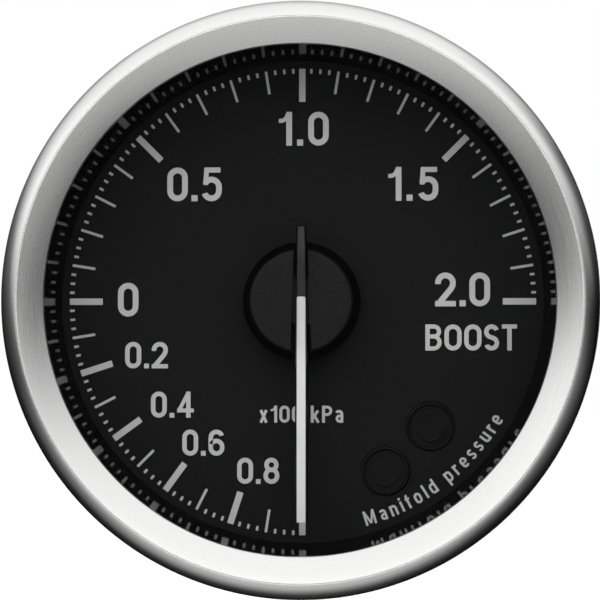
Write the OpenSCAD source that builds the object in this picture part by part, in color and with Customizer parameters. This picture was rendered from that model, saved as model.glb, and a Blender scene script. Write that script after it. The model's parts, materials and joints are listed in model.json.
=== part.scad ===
// A round panel gauge for boost and vacuum, as an assembly of separate pieces.
// The face looks along -Y with +Z up. The origin is on the gauge's axis, where the full width of the
// barrel starts, a short groove behind the bezel's rear face. All sizes are in millimetres.

/* [Case] */
// Diameter of the barrel that goes through the panel
barrel_d = 60; // [59:0.5:70]
// Length of the barrel at its full diameter
barrel_len = 27; // [26:0.5:40]
// Wall of the barrel
case_wall = 1.8; // [1.4:0.1:2.2]
// Width of the groove between the barrel and the bezel's rear face
seat_gap = 1; // [0.6:0.1:2]
// Height of the neck ahead of the bezel's rear face
neck_h = 4.1; // [3.5:0.1:6]
// How much smaller the neck is in radius than the barrel
neck_step = 0.6; // [0.4:0.1:0.8]
// Thickness of the ledge that carries the main board
ledge_t = 2.4; // [1.6:0.2:3]
// Width of that ledge inside the barrel
ledge_w = 2.7; // [2.5:0.1:3]
// Radius of the bosses for the cover screws
boss_r = 3.2; // [2.6:0.1:3.6]
// Length of those bosses
boss_len = 7; // [5:0.5:8]
// How far those bosses sink into the barrel's wall
boss_sink = 0.4; // [0.3:0.1:0.8]

/* [Bezel] */
// How far the bezel reaches past the barrel, in radius
bezel_overhang = 2; // [1.5:0.1:4]
// Width of the outer roll, from the bezel's edge to its ridge
roll_w = 1.9; // [1.5:0.1:2.1]
// Height of the outer roll
roll_h = 3.2; // [2.4:0.1:3.6]
// Width of the cone from the ridge to the opening
cone_w = 2.85; // [2.4:0.05:3.4]
// Height of that cone
cone_h = 1.4; // [0.8:0.1:2]
// Depth of the step at the bezel's foot, which clears the edge of the panel's hole
foot_h = 0.6; // [0.4:0.1:1]
// Thickness of the lip over the lens
lip_t = 0.5; // [0.4:0.1:0.8]
// Radial gap between the bezel and what it is pressed over
bezel_fit = 0.1; // [0.05:0.01:0.15]

/* [Lens and inner ring] */
// Thickness of the lens
lens_t = 1.5; // [1:0.1:2]
// Radial gap round the lens
lens_fit = 0.2; // [0.1:0.05:0.3]
// Thickness of the gasket on the lens
gasket_t = 0.3; // [0.2:0.05:0.5]
// How far the gasket stays back from the bezel's opening
gasket_setback = 0.15; // [0.1:0.05:0.4]
// Height of the tapered ring between dial and lens
ring_h = 7.1; // [6.8:0.1:9]
// How much narrower that ring is at the dial than at the lens, in radius
ring_taper = 0.9; // [0.8:0.01:1.6]
// How far the ring's top edge stays back from the bezel's opening
ring_setback = 0.2; // [0.1:0.05:0.4]

/* [Dial] */
// Thickness of the dial
dial_t = 1; // [0.8:0.1:1.4]
// Radius of the hole for the needle's bush
dial_hole_r = 2.6; // [2.2:0.1:3.2]
// Sweep of the scale in degrees
sweep = 270; // [180:10:300]
// Number of steps along the scale
scale_steps = 120; // [120:60:240]
// Gap between the marks and the tapered ring
scale_margin = 1.02; // [0.5:0.01:2]
// Length of a major mark
major_len = 3.62; // [2.5:0.01:5]
// Width of a major mark
major_w = 0.7; // [0.5:0.05:0.9]
// Length of a medium mark
medium_len = 2.5; // [1.5:0.1:3.5]
// Width of a medium mark
medium_w = 0.28; // [0.2:0.02:0.5]
// Length of a dot
dot_len = 0.5; // [0.3:0.05:0.8]
// Width of a dot
dot_w = 0.26; // [0.2:0.02:0.4]
// Thickness of the printed marks
print_t = 0.05; // [0.03:0.01:0.1]

/* [Warning lamps] */
// Radius of a lamp's cover where it shows
lamp_r = 2.7; // [2.2:0.05:2.85]
// Height of a lamp's dome over the dial
lamp_dome_h = 0.3; // [0.15:0.05:0.5]
// Width of the flange that holds a lamp's cover under the dial
lamp_flange_w = 0.4; // [0.3:0.05:0.5]
// Distance from the scale's outer circle to the middle of the peak lamp
peak_lamp_inset = 6; // [5.5:0.1:7]
// Direction of the peak lamp, in degrees below the right-hand side
peak_lamp_deg = 44.2; // [35:0.1:48]
// Direction from the peak lamp to the warning lamp, in degrees
lamp_row_deg = 225; // [215:1:235]
// Gap between the flanges of the two lamps
lamp_gap = 0.73; // [0.6:0.01:1.2]

/* [Lighting] */
// Thickness of the light guide
guide_t = 2; // [1.5:0.1:3]
// Height of the light box
light_box_h = 3; // [2.4:0.1:4]
// Thickness of the light box's outer wall
light_box_wall = 2.5; // [2.3:0.1:2.8]
// Thickness of its inner ribs and tubes
rib_t = 0.9; // [0.6:0.1:1.2]
// Number of light-emitting chips for the scale
scale_led_count = 8; // [4:4:8]
// Distance from the light box's wall to the middle of one of them
scale_led_inset = 13.1; // [12.6:0.1:15]
// Side of one light-emitting chip
led_w = 1.6; // [1:0.1:2]
// Height of one light-emitting chip
led_h = 0.8; // [0.5:0.1:1.2]

/* [Needle] */
// Distance from the needle's tip to the scale's outer circle
needle_setback = 1.56; // [0.5:0.01:5]
// Length of its tail
tail_len = 8.07; // [6.5:0.01:10]
// Thickness of the dark carrier
carrier_t = 0.7; // [0.5:0.05:0.9]
// Width of the carrier at the end of its tail
tail_w = 0.69; // [0.5:0.01:0.9]
// Width of the carrier at the axis
waist_w = 1.08; // [0.9:0.02:1.3]
// Width of the carrier where it leaves the hub cap
shoulder_w = 1.6; // [1.3:0.05:1.9]
// Width of the white strip
strip_w = 0.98; // [0.7:0.02:1.2]
// Thickness of the white strip
strip_t = 0.25; // [0.15:0.05:0.4]
// How far the white strip starts beyond the axis
strip_start = 0.46; // [0:0.02:1]
// Radius of the hub cap
cap_r = 5.55; // [5:0.05:6.5]
// Height of the hub cap
cap_h = 3; // [2.6:0.1:3.6]
// How far the cap stands over the carrier
cap_over_carrier = 1.3; // [0.8:0.1:1.6]
// Rounding of the cap's upper edge
cap_edge_r = 0.3; // [0.1:0.05:0.5]
// How far the cap's skirt flares out at its foot
skirt_w = 0.85; // [0.5:0.05:1]
// Height of the cap's skirt
skirt_h = 1.3; // [0.9:0.1:1.6]
// Gap between cap and lens
cap_to_lens = 2.3; // [1.5:0.1:3]
// Width of the cap's slot on the tail side
slot_narrow_w = 1.5; // [1.1:0.05:1.6]
// Width of the cap's slot on the needle side
slot_wide_w = 2.4; // [2:0.05:2.6]
// Radius of the hub under the carrier
needle_hub_r = 2.6; // [2.2:0.1:3]
// Radius of the metal bush
bush_r = 1.5; // [1.3:0.1:1.8]
// Length of the bush below the hub
bush_drop = 1; // [0.5:0.1:1.4]

/* [Motor] */
// Gap between the motor and the ledge, below the axis
motor_gap = 2.5; // [2.3:0.1:3]
// Room between the output wheel and the motor's wall, at the top
wheel_room_top = 1.2; // [1:0.1:2]
// Room between the output wheel and the motor's walls, at the sides
wheel_room_side = 3.2; // [3:0.1:3.4]
// Height of the motor
motor_h = 8.1; // [8:0.1:8.3]
// Wall of the motor's case
motor_wall = 0.8; // [0.7:0.05:0.9]
// Radius of the motor's corners
motor_corner_r = 5; // [4.5:0.5:7]
// Radius of the output shaft
shaft_r = 0.75; // [0.6:0.05:0.9]
// Wall of a pinion, from its bore to the roots of its teeth
pinion_wall = 0.1375; // [0.1:0.0125:0.2]
// Radial running gap between a bore and its pin or shaft
running_fit = 0.05; // [0.03:0.01:0.08]
// Radial gap between pieces that are fixed to each other
seat_fit = 0.03; // [0.02:0.01:0.05]
// Radius of the bearing in the motor's front
bearing_r = 1.9; // [1.6:0.1:2.2]
// Radius of the rotor's magnet
magnet_r = 2.6; // [2.2:0.1:2.8]
// Height of the magnet
magnet_h = 2.8; // [2.4:0.1:2.9]
// Gap between magnet and stator
air_gap = 0.4; // [0.3:0.05:0.5]
// Thickness of the stator
stator_t = 0.9; // [0.6:0.1:1.2]
// Width of the stator's legs
stator_w = 1.6; // [1.2:0.1:1.8]
// Gap between the stator and the motor's wall, below the axis
stator_gap = 0.4; // [0.2:0.1:0.6]
// Gap between the stator's bar and the boss of the output shaft
bar_gap = 3.3; // [2.8:0.1:5]
// How far a bobbin's flange stands out of its coil
bobbin_flange = 0.2; // [0.1:0.05:0.4]
// Thickness of a bobbin's flange
bobbin_t = 0.5; // [0.4:0.05:0.6]

/* [Boards] */
// Thickness of the main board
main_board_t = 1.6; // [1:0.1:1.6]
// Thickness of the rear board
rear_board_t = 1.2; // [1:0.1:1.6]
// Gap between the motor and the rear board
motor_to_board = 1.6; // [1.2:0.1:2.4]
// Radius of the posts that carry the rear board
post_r = 2.2; // [1.8:0.1:2.6]
// Distance from the rear board's edge to the middle of a post
post_inset = 4; // [3:0.1:4.5]
// Gap between the rear board and the case's bosses
rear_board_gap = 1.2; // [0.8:0.1:1.6]
// Width of the plug between the boards
link_w = 12; // [8:1:14]
// Depth of the plug between the boards
link_t = 2.5; // [2:0.1:3]
// Distance from the rear board's edge to the middle of that plug
link_inset = 5; // [4:0.5:6]
// Share of the space between the boards that the header takes
header_share = 0.45; // [0.35:0.05:0.6]
// Side of the controller chip
chip_w = 7; // [5:0.5:7]
// Height of the controller chip
chip_h = 1; // [0.8:0.1:1.4]
// Radius of a supply capacitor
capacitor_r = 2.2; // [1.6:0.1:2.4]
// Height of a supply capacitor
capacitor_h = 5; // [3:0.5:5.5]

/* [Rear] */
// Thickness of the rear cover
cover_t = 2; // [1.6:0.1:3]
// How much smaller the cover is in radius than the barrel
cover_step = 0.5; // [0.4:0.05:0.6]
// Height of the cover's ring inside the barrel
spigot_h = 2.5; // [2.2:0.1:3]
// Thickness of that ring
spigot_wall = 2.1; // [1.8:0.1:2.6]
// Radial gap between the parts of the housing
housing_fit = 0.1; // [0.05:0.01:0.15]
// Radius of the section of the sealing ring
seal_r = 0.4; // [0.3:0.05:0.45]
// Gap round the sealing ring in its groove
seal_fit = 0.05; // [0.03:0.01:0.08]
// Width of a connector
connector_w = 12; // [10:0.5:12.5]
// Height of a connector
connector_tall = 7.2; // [6:0.2:8]
// Wall of a connector
connector_wall = 0.9; // [0.7:0.1:1.1]
// Gap between the two connectors
connector_gap = 2; // [1.5:0.1:3]
// How far the connectors sit below the axis
connector_drop = 4; // [2:0.5:5]
// How far the connectors stand out of the cover
connector_proud = 0.5; // [0.2:0.1:1.5]
// Number of pins in one connector
pins_each = 4; // [2:1:4]
// Distance between neighbouring pins
pin_pitch = 2.2; // [2:0.1:2.5]
// Side of a square contact pin
contact_w = 0.64; // [0.5:0.02:0.8]
// Free length of a contact pin
contact_len = 3.8; // [3:0.1:4]
// Distance between the two threaded bushes for a bracket
insert_spacing = 24; // [22:0.5:26]
// How far these bushes sit below the axis
insert_drop = 14; // [13:0.5:15]
// Outer radius of a threaded bush
insert_r = 2.8; // [2.4:0.1:3]
// Radius of its threaded hole
insert_hole_r = 1.65; // [1.2:0.05:2.1]
// Gap between the threaded bushes and the rear board
insert_gap = 1; // [0.6:0.1:3]

/* [Screws] */
// Radius of a cover screw's shank
cover_screw_r = 1; // [0.8:0.05:1.2]
// Length of a cover screw's shank
cover_screw_len = 7; // [6:0.5:8]
// Radius of a board screw's shank
board_screw_r = 0.6; // [0.5:0.05:0.7]
// Length of a board screw's thread in what it holds on to
board_screw_bite = 2; // [1.5:0.1:2.2]
// Radius of a board screw's head
board_screw_head_r = 1.1; // [1:0.05:1.15]
// Height of a small screw's head
small_head_h = 0.8; // [0.6:0.05:0.9]

/* [Hidden] */
$fn = 96;
// How far a cut runs past the face that it opens
overrun = 1;
screw_angles = [90, 210, 330];
board_screw_angles = [30, 150, 270];

// Radii of the housing
barrel_r = barrel_d / 2;
bore_r = barrel_r - case_wall;
neck_r = barrel_r - neck_step;
ledge_r = bore_r - ledge_w;
boss_orbit_r = bore_r - boss_r + boss_sink;
bezel_r = barrel_r + bezel_overhang;
ridge_r = bezel_r - roll_w;
lip_r = ridge_r - cone_w;
lens_r = neck_r + bezel_fit - lens_fit;
inside_r = bore_r - housing_fit;
scale_r = lip_r + ring_setback - ring_taper - scale_margin;
needle_len = scale_r - needle_setback;
rear_board_r = boss_orbit_r - boss_r - rear_board_gap;
post_orbit_r = rear_board_r - post_inset;
link_up = rear_board_r - link_inset;

// Heights along the gauge's axis, measured towards the viewer from the start of the barrel
seat_z = seat_gap;
lens_z = seat_z + neck_h;
gasket_z = lens_z + lens_t;
lip_z = gasket_z + gasket_t;
lip_top_z = lip_z + lip_t;
ridge_z = lip_top_z + cone_h;
roll_z = ridge_z - roll_h;
dial_top_z = lens_z - ring_h;
dial_z = dial_top_z - dial_t;
guide_z = dial_z - guide_t;
light_box_z = guide_z - light_box_h;
board_z = light_box_z - main_board_t;
ledge_z = board_z - ledge_t;
cap_top_z = lens_z - cap_to_lens;
cap_z = cap_top_z - cap_h;
carrier_top_z = cap_top_z - cap_over_carrier;
carrier_z = carrier_top_z - carrier_t;
hub_top_z = carrier_z + carrier_t / 2;
bush_z = cap_z - bush_drop;
rear_z = -barrel_len;
cover_z = rear_z - cover_t;

// The motor, hung behind the main board
motor_z = board_z - motor_h;
rear_board_top_z = motor_z - motor_to_board;
rear_board_z = rear_board_top_z - rear_board_t;
post_h = rear_board_z - rear_z;
insert_len = cover_t + post_h - insert_gap;
motor_floor_z = motor_z + motor_wall;
motor_lid_z = board_z - motor_wall;
motor_split_z = motor_z + motor_h / 2;

// The wheels of the motor's train
output_teeth = 72;
pinion_teeth = 8;
idler_teeth = 56;
tooth_play_share = 0.1;
tooth_flank_angle = 20;
wheel_addendum_share = 0.75;
pinion_addendum_share = 0.75;
dedendum_share = 1.25;
output_gear_t = 1;
idler_wheel_t = 0.8;
wheel_gap = 0.6;
pinion_over = 0.2;
end_play = 0.1;
gear_drop = 1.4;
output_gear_top_z = board_z - gear_drop;
output_gear_z = output_gear_top_z - output_gear_t;
idler_wheel_top_z = output_gear_z - wheel_gap;
idler_wheel_z = idler_wheel_top_z - idler_wheel_t;
magnet_z = motor_floor_z + end_play + end_play + end_play;
magnet_top_z = magnet_z + magnet_h;

// The train spans from the shaft to the magnet, which fills the motor's lower end, and that sets the teeth
motor_down = ledge_r - motor_gap;
rotor_drop = motor_down - motor_wall - stator_gap - stator_w / 2 - air_gap - magnet_r;
module_size = rotor_drop * 2 / (output_teeth + pinion_teeth * 2 + idler_teeth);
idler_drop = module_size * (output_teeth + pinion_teeth) / 2;
output_pitch_r = module_size * output_teeth / 2;
pin_r = module_size * (pinion_teeth / 2 - dedendum_share) - pinion_wall - running_fit;
motor_up = output_pitch_r + wheel_room_top + motor_wall;
motor_half_w = output_pitch_r + wheel_room_side + motor_wall;
coil_len = rotor_drop - (stator_w + bobbin_t + shaft_r) * 2 - bar_gap;

// Small sizes of the lamps and the lighting
lamp_flange_r = lamp_r + lamp_flange_w;
lamp_pitch = lamp_flange_r * 2 + lamp_gap;
peak_lamp_x = (scale_r - peak_lamp_inset) * cos(peak_lamp_deg);
peak_lamp_drop = (scale_r - peak_lamp_inset) * sin(peak_lamp_deg);
warning_lamp_x = peak_lamp_x + lamp_pitch * cos(lamp_row_deg);
warning_lamp_drop = peak_lamp_drop - lamp_pitch * sin(lamp_row_deg);
lamp_places = [[peak_lamp_x, -peak_lamp_drop], [warning_lamp_x, -warning_lamp_drop]];
light_box_inner_r = inside_r - light_box_wall;
scale_led_orbit_r = light_box_inner_r - scale_led_inset;
shaft_tube_r = dial_hole_r + rib_t;
screw_orbit_r = (ledge_r + bore_r) / 2;

// Turns the gauge from its own frame, where z points at the viewer, to the part's frame
module faced() {
  rotate([90, 0, 0]) children();
}

// Lifts children to a height along the gauge's axis
module at_z(z) {
  translate([0, 0, z]) children();
}

// Repeats children on a circle
module round_circle(radius, angles) {
  for (a = angles) rotate([0, 0, a]) translate([radius, 0, 0]) children();
}

// Points of an arc from one angle to another
function arc(cx, cy, r, from, to, steps) =
  [for (i = [0 : steps]) let (a = from + (to - from) * i / steps) [cx + r * cos(a), cy + r * sin(a)]];

// Outline of a rectangle with round corners
function round_rect(left, right, bottom, top, r, steps) = concat(
  arc(right - r, bottom + r, r, -90, 0, steps),
  arc(right - r, top - r, r, 0, 90, steps),
  arc(left + r, top - r, r, 90, 180, steps),
  arc(left + r, bottom + r, r, 180, 270, steps)
);

// A ring with a rectangular section
module tube(outer, inner, height) {
  difference() {
    cylinder(r = outer, h = height);
    at_z(-overrun) cylinder(r = inner, h = height + overrun + overrun);
  }
}

// A through hole from one height to another, with the overrun at both ends
module through(r, z0, z1) {
  at_z(z0 - overrun) cylinder(r = r, h = z1 - z0 + overrun + overrun);
}

// A screw with its head below z = 0 and its shank above
module screw(shank_r, shank_len, head_r, head_h) {
  slot_w = head_h / 2;
  difference() {
    union() {
      cylinder(r = shank_r, h = shank_len);
      at_z(-head_h) cylinder(r = head_r, h = head_h);
    }
    at_z(-head_h - overrun) {
      translate([-head_r * 2 / 3, -slot_w / 2, 0]) cube([head_r * 4 / 3, slot_w, overrun + slot_w]);
      translate([-slot_w / 2, -head_r * 2 / 3, 0]) cube([slot_w, head_r * 4 / 3, overrun + slot_w]);
    }
  }
}

// Half of a tooth's angle at a radius, on an involute above its base circle
function involute(base, r) =
  let (t = sqrt(max(0, (r / base) ^ 2 - 1))) t * 180 / PI - atan(t);
function tooth_half(teeth, pitch_r, r) =
  let (base = pitch_r * cos(tooth_flank_angle))
  90 / teeth * (1 - tooth_play_share) + involute(base, pitch_r) - involute(base, max(r, base));
function gear_points(teeth, addendum) =
  let (
    pitch_r = module_size * teeth / 2,
    tip = pitch_r + module_size * addendum,
    root = pitch_r - module_size * dedendum_share,
    radii = [root, pitch_r * cos(tooth_flank_angle), pitch_r, (pitch_r + tip) / 2, tip],
    levels = [for (r = radii) if (r >= root) r]
  )
  [for (k = [0 : teeth - 1]) each concat(
    [for (r = levels) let (a = 360 * k / teeth - tooth_half(teeth, pitch_r, r)) [r * cos(a), r * sin(a)]],
    [for (i = [len(levels) - 1 : -1 : 0])
      let (r = levels[i], a = 360 * k / teeth + tooth_half(teeth, pitch_r, r)) [r * cos(a), r * sin(a)]]
  )];

// The satin ring that clamps the lens
module bezel() {
  roll_steps = 14;
  color("#8f9092") faced() rotate_extrude() polygon(concat(
    [[barrel_r + bezel_fit, seat_z], [bezel_r, seat_z]],
    [for (i = [0 : roll_steps]) let (a = 90 * i / roll_steps)
      [ridge_r + roll_w * cos(a), roll_z + roll_h * sin(a)]],
    [[lip_r, lip_top_z], [lip_r, lip_z], [neck_r + bezel_fit, lip_z],
     [neck_r + bezel_fit, seat_z + foot_h], [barrel_r + bezel_fit, seat_z + foot_h]]
  ));
}

// The flat clear cover
module lens() {
  edge = lens_t / 6;
  color("#d9e2e6", 0.3) faced() at_z(lens_z) rotate_extrude() polygon([
    [0, 0], [lens_r, 0], [lens_r, lens_t - edge], [lens_r - edge, lens_t], [0, lens_t]
  ]);
}

// The thin ring that seals the lens under the bezel's lip
module lens_gasket() {
  color("#1a1a1a") faced() at_z(gasket_z) tube(neck_r, lip_r + gasket_setback, gasket_t);
}

// The gloss tapered wall between dial and lens
module inner_ring() {
  top_r = lip_r + ring_setback;
  color("#0c0c0d") faced() rotate_extrude() polygon([
    [top_r - ring_taper, dial_top_z], [inside_r, dial_top_z], [inside_r, lens_z], [top_r, lens_z]
  ]);
}

// The black face plate
module dial() {
  color("#1b1b1c") faced() difference() {
    at_z(dial_z) cylinder(r = inside_r, h = dial_t);
    through(dial_hole_r, dial_z, dial_top_z);
    for (p = lamp_places) translate(p) through(lamp_r + seat_fit, dial_z, dial_top_z);
  }
}

// One printed mark, its outer end on the scale's circle
module mark(length, width, angle) {
  rotate([0, 0, angle]) translate([scale_r - length, -width / 2, dial_top_z]) cube([length, width, print_t]);
}

// Vacuum side: a major mark every eighth step. Pressure side: every twentieth step
module scale_marks() {
  vacuum_steps = scale_steps / 3;
  color("#b9b9b6") faced() for (i = [0 : scale_steps]) {
    angle = -90 - sweep * i / scale_steps;
    major = i <= vacuum_steps ? i % 8 == 0 : (i - vacuum_steps) % 20 == 0;
    if (major) mark(major_len, major_w, angle);
    else if (i % 4 == 0) mark(medium_len, medium_w, angle);
    else mark(dot_len, dot_w, angle);
  }
}

// A smoked cover with a low dome, its flange held between the dial and the light box
module lamp_lens(place) {
  steps = 8;
  color("#222223") faced() translate(place) rotate_extrude() polygon(concat(
    [[0, guide_z], [lamp_flange_r, guide_z], [lamp_flange_r, dial_z], [lamp_r, dial_z], [lamp_r, dial_top_z]],
    [for (i = [1 : steps]) let (a = 90 * i / steps) [lamp_r * cos(a), dial_top_z + lamp_dome_h * sin(a)]]
  ));
}

module peak_lamp_lens() {
  lamp_lens(lamp_places[0]);
}

module warning_lamp_lens() {
  lamp_lens(lamp_places[1]);
}

// The clear plate that spreads the light behind the dial
module light_guide() {
  color("#e8f0f2", 0.6) faced() difference() {
    at_z(guide_z) cylinder(r = inside_r, h = guide_t);
    through(dial_hole_r, guide_z, dial_z);
    for (p = lamp_places) translate(p) through(lamp_flange_r + seat_fit, guide_z, dial_z);
  }
}

// The white box that keeps the light of the scale and of the lamps apart, with a rib to each lamp's tube
module light_box() {
  chimney_r = lamp_flange_r + housing_fit;
  rib_end = (light_box_inner_r + inside_r) / 2;
  color("#ecebe6") faced() difference() {
    union() {
      at_z(light_box_z) tube(inside_r, light_box_inner_r, light_box_h);
      at_z(light_box_z) cylinder(r = shaft_tube_r, h = light_box_h);
      for (a = [0, 90, 180, 270]) rotate([0, 0, a])
        translate([shaft_tube_r - rib_t / 2, -rib_t / 2, light_box_z])
          cube([rib_end - shaft_tube_r + rib_t / 2, rib_t, light_box_h]);
      for (p = lamp_places) translate([p[0], p[1], light_box_z]) cylinder(r = chimney_r, h = light_box_h);
      translate([peak_lamp_x, -peak_lamp_drop - rib_t / 2, light_box_z])
        cube([sqrt(rib_end ^ 2 - peak_lamp_drop ^ 2) - peak_lamp_x, rib_t, light_box_h]);
      translate([warning_lamp_x - rib_t / 2, -sqrt(rib_end ^ 2 - warning_lamp_x ^ 2), light_box_z])
        cube([rib_t, sqrt(rib_end ^ 2 - warning_lamp_x ^ 2) - warning_lamp_drop, light_box_h]);
    }
    through(dial_hole_r, light_box_z, guide_z);
    for (p = lamp_places) translate(p) through(chimney_r - rib_t, light_box_z, guide_z);
    at_z(light_box_z - overrun) round_circle(screw_orbit_r, board_screw_angles)
      cylinder(r = board_screw_r + seat_fit, h = board_screw_bite + overrun);
  }
}

// A light-emitting chip on the main board
module led() {
  color("#f2efcf") translate([-led_w / 2, -led_w / 2, light_box_z]) cube([led_w, led_w, led_h]);
}

module scale_leds() {
  step = 360 / scale_led_count;
  faced() round_circle(scale_led_orbit_r, [for (i = [0 : scale_led_count - 1]) step * (i + 1 / 2)]) led();
}

module lamp_leds() {
  faced() for (p = lamp_places) translate(p) led();
}

// The two coils, level with the magnet, and the places of the motor's four contact pins over their ends
coil_z = magnet_z + magnet_h / 2;
bobbin_r = coil_z - motor_floor_z - end_play;
coil_r = bobbin_r - bobbin_flange;
pin_side = motor_half_w - motor_wall - bobbin_r - end_play;
coil_y = -rotor_drop + stator_w;
motor_pin_places = [for (x = [-pin_side, pin_side], y = [coil_y, coil_y + coil_len]) [x, y]];
motor_pin_r = pin_r * 2 / 3;

// The board behind the light box, with the motor and the controller on its rear face
module main_board() {
  color("#1f5a3a") faced() difference() {
    at_z(board_z) cylinder(r = inside_r, h = main_board_t);
    through(bearing_r + housing_fit, board_z, light_box_z);
    round_circle(screw_orbit_r, board_screw_angles) through(board_screw_r + seat_fit, board_z, light_box_z);
    for (p = motor_pin_places) translate(p) through(motor_pin_r + seat_fit, board_z, light_box_z);
  }
}

// The controller, behind the board and beside the motor
module controller_chip() {
  chip_x = (motor_half_w + ledge_r) / 2;
  color("#222222") faced() translate([-chip_x - chip_w / 2, -chip_w / 2, board_z - chip_h])
    cube([chip_w, chip_w, chip_h]);
}

// Three screws from behind the ledge, through the board into the light box
module board_screws() {
  color("#a8a8a4") faced() at_z(ledge_z) round_circle(screw_orbit_r, board_screw_angles)
    screw(board_screw_r, ledge_t + main_board_t + board_screw_bite - end_play,
      board_screw_head_r, small_head_h);
}

// Outline of the motor, drawn in from its outer wall
module motor_outline(inset) {
  polygon(round_rect(-motor_half_w + inset, motor_half_w - inset, -motor_down + inset, motor_up - inset,
    motor_corner_r - inset, 6));
}

// The front half of the motor's case
module motor_case_front() {
  color("#3a3a3c") faced() difference() {
    at_z(motor_split_z) linear_extrude(board_z - motor_split_z) motor_outline(0);
    at_z(motor_split_z - overrun) linear_extrude(motor_lid_z - motor_split_z + overrun)
      motor_outline(motor_wall);
    through(bearing_r + seat_fit, motor_lid_z, board_z);
    for (y = [-idler_drop, -rotor_drop]) translate([0, y, motor_lid_z - overrun])
      cylinder(r = pin_r + seat_fit, h = motor_wall / 2 + overrun);
    for (p = motor_pin_places) translate(p) through(motor_pin_r + seat_fit, motor_lid_z, board_z);
  }
}

// The peg on the output wheel runs round to either end of this block
peg_r = 0.6;
peg_inset = 2;
peg_orbit_r = output_pitch_r - peg_inset;
peg_h = wheel_gap - end_play;
stop_play_deg = 1;
peg_half_deg = asin(peg_r / peg_orbit_r);
stop_sweep = 360 - sweep - (peg_half_deg + stop_play_deg) * 2;
peg_angle = 90 - stop_sweep / 2 - peg_half_deg - stop_play_deg;

// The rear half of the motor's case, with the bearings of the wheels and the needle's end stop
module motor_case_rear() {
  boss_wall = pin_r;
  color("#3a3a3c") faced() difference() {
    union() {
      difference() {
        at_z(motor_z) linear_extrude(motor_split_z - motor_z) motor_outline(0);
        at_z(motor_floor_z) linear_extrude(motor_split_z - motor_floor_z + overrun)
          motor_outline(motor_wall);
      }
      at_z(motor_z) cylinder(r = shaft_r * 2, h = output_gear_z - end_play - motor_z);
      translate([0, -idler_drop, motor_z])
        cylinder(r = pin_r + boss_wall, h = idler_wheel_z - end_play - motor_z);
      translate([0, -rotor_drop, motor_z])
        cylinder(r = pin_r + boss_wall, h = magnet_z - end_play - motor_z);
      at_z(motor_z) rotate([0, 0, 90 - stop_sweep / 2]) rotate_extrude(angle = stop_sweep)
        translate([peg_orbit_r - peg_r, 0]) square([peg_r * 2, output_gear_z - end_play - motor_z]);
    }
    at_z(motor_floor_z) cylinder(r = shaft_r + running_fit, h = motor_h);
    for (y = [-idler_drop, -rotor_drop]) translate([0, y, motor_z + motor_wall / 2])
      cylinder(r = pin_r + seat_fit, h = motor_h);
  }
}

// The brass bearing of the output shaft, in the motor's front
module motor_bearing() {
  bearing_z = output_gear_top_z + end_play;
  bearing_h = light_box_z - bearing_z;
  color("#b5954e") faced() at_z(bearing_z) tube(bearing_r, shaft_r + running_fit, bearing_h);
}

// The iron circuit: a ring round the magnet, two legs through the coils and a bar that closes them
module stator_plate() {
  stator_z = coil_z - stator_t / 2;
  ring_r = magnet_r + air_gap;
  bar_y = coil_y + coil_len + bobbin_t + bobbin_t;
  color("#77787a") faced() at_z(stator_z) difference() {
    union() {
      translate([0, -rotor_drop, 0]) cylinder(r = ring_r + stator_w / 2, h = stator_t);
      translate([-pin_side - stator_w / 2, -rotor_drop - stator_w / 2, 0])
        cube([pin_side + pin_side + stator_w, stator_w, stator_t]);
      for (x = [-pin_side, pin_side]) translate([x - stator_w / 2, -rotor_drop - stator_w / 2, 0])
        cube([stator_w, bar_y + rotor_drop + stator_w * 3 / 2, stator_t]);
      translate([-pin_side - stator_w / 2, bar_y, 0])
        cube([pin_side + pin_side + stator_w, stator_w, stator_t]);
    }
    translate([0, -rotor_drop, -overrun]) cylinder(r = ring_r, h = stator_t + overrun + overrun);
  }
}

// Lays a cylinder on a coil's axis and clears the stator's leg
module on_coil(y, r, length) {
  for (x = [-pin_side, pin_side]) difference() {
    translate([x, y, coil_z]) rotate([-90, 0, 0]) cylinder(r = r, h = length);
    translate([x - stator_w / 2 - seat_fit, y - overrun, coil_z - stator_t / 2 - seat_fit])
      cube([stator_w + seat_fit + seat_fit, length + overrun + overrun, stator_t + seat_fit + seat_fit]);
  }
}

// The flanges at the ends of the two coils
module coil_bobbins() {
  color("#e3ddc8") faced() {
    on_coil(coil_y - bobbin_t, bobbin_r, bobbin_t);
    on_coil(coil_y + coil_len, bobbin_r, bobbin_t);
  }
}

// The two windings
module motor_coils() {
  color("#b2642f") faced() on_coil(coil_y, coil_r, coil_len);
}

// The four contact pins, from the coils through the motor's front and the main board
module motor_pins() {
  foot_z = coil_z + bobbin_r + end_play;
  color("#c9c6b8") faced() for (p = motor_pin_places) translate([p[0], p[1], foot_z])
    cylinder(r = motor_pin_r, h = light_box_z - foot_z);
}

// A fixed steel pin between the two halves of the motor's case
module fixed_pin(drop) {
  bottom_z = motor_z + motor_wall / 2;
  top_z = motor_lid_z + motor_wall / 2;
  color("#c0c2c4") faced() translate([0, -drop, bottom_z]) cylinder(r = pin_r, h = top_z - bottom_z);
}

module idler_pin() {
  fixed_pin(idler_drop);
}

module rotor_pin() {
  fixed_pin(rotor_drop);
}

// A toothed wheel with its bore left out
module gear(teeth, addendum, height) {
  linear_extrude(height) polygon(gear_points(teeth, addendum));
}

// The magnet that turns on its fixed pin
module rotor_magnet() {
  color("#55565a") faced() translate([0, -rotor_drop, magnet_z])
    tube(magnet_r, pin_r + running_fit, magnet_h);
}

// The pinion that stands on the magnet and drives the idler wheel
module rotor_pinion() {
  height = idler_wheel_top_z + pinion_over - magnet_top_z;
  color("#e6e1d2") faced() translate([0, -rotor_drop, magnet_top_z]) difference() {
    rotate([0, 0, 90]) gear(pinion_teeth, pinion_addendum_share, height);
    through(pin_r + running_fit, 0, height);
  }
}

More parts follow.
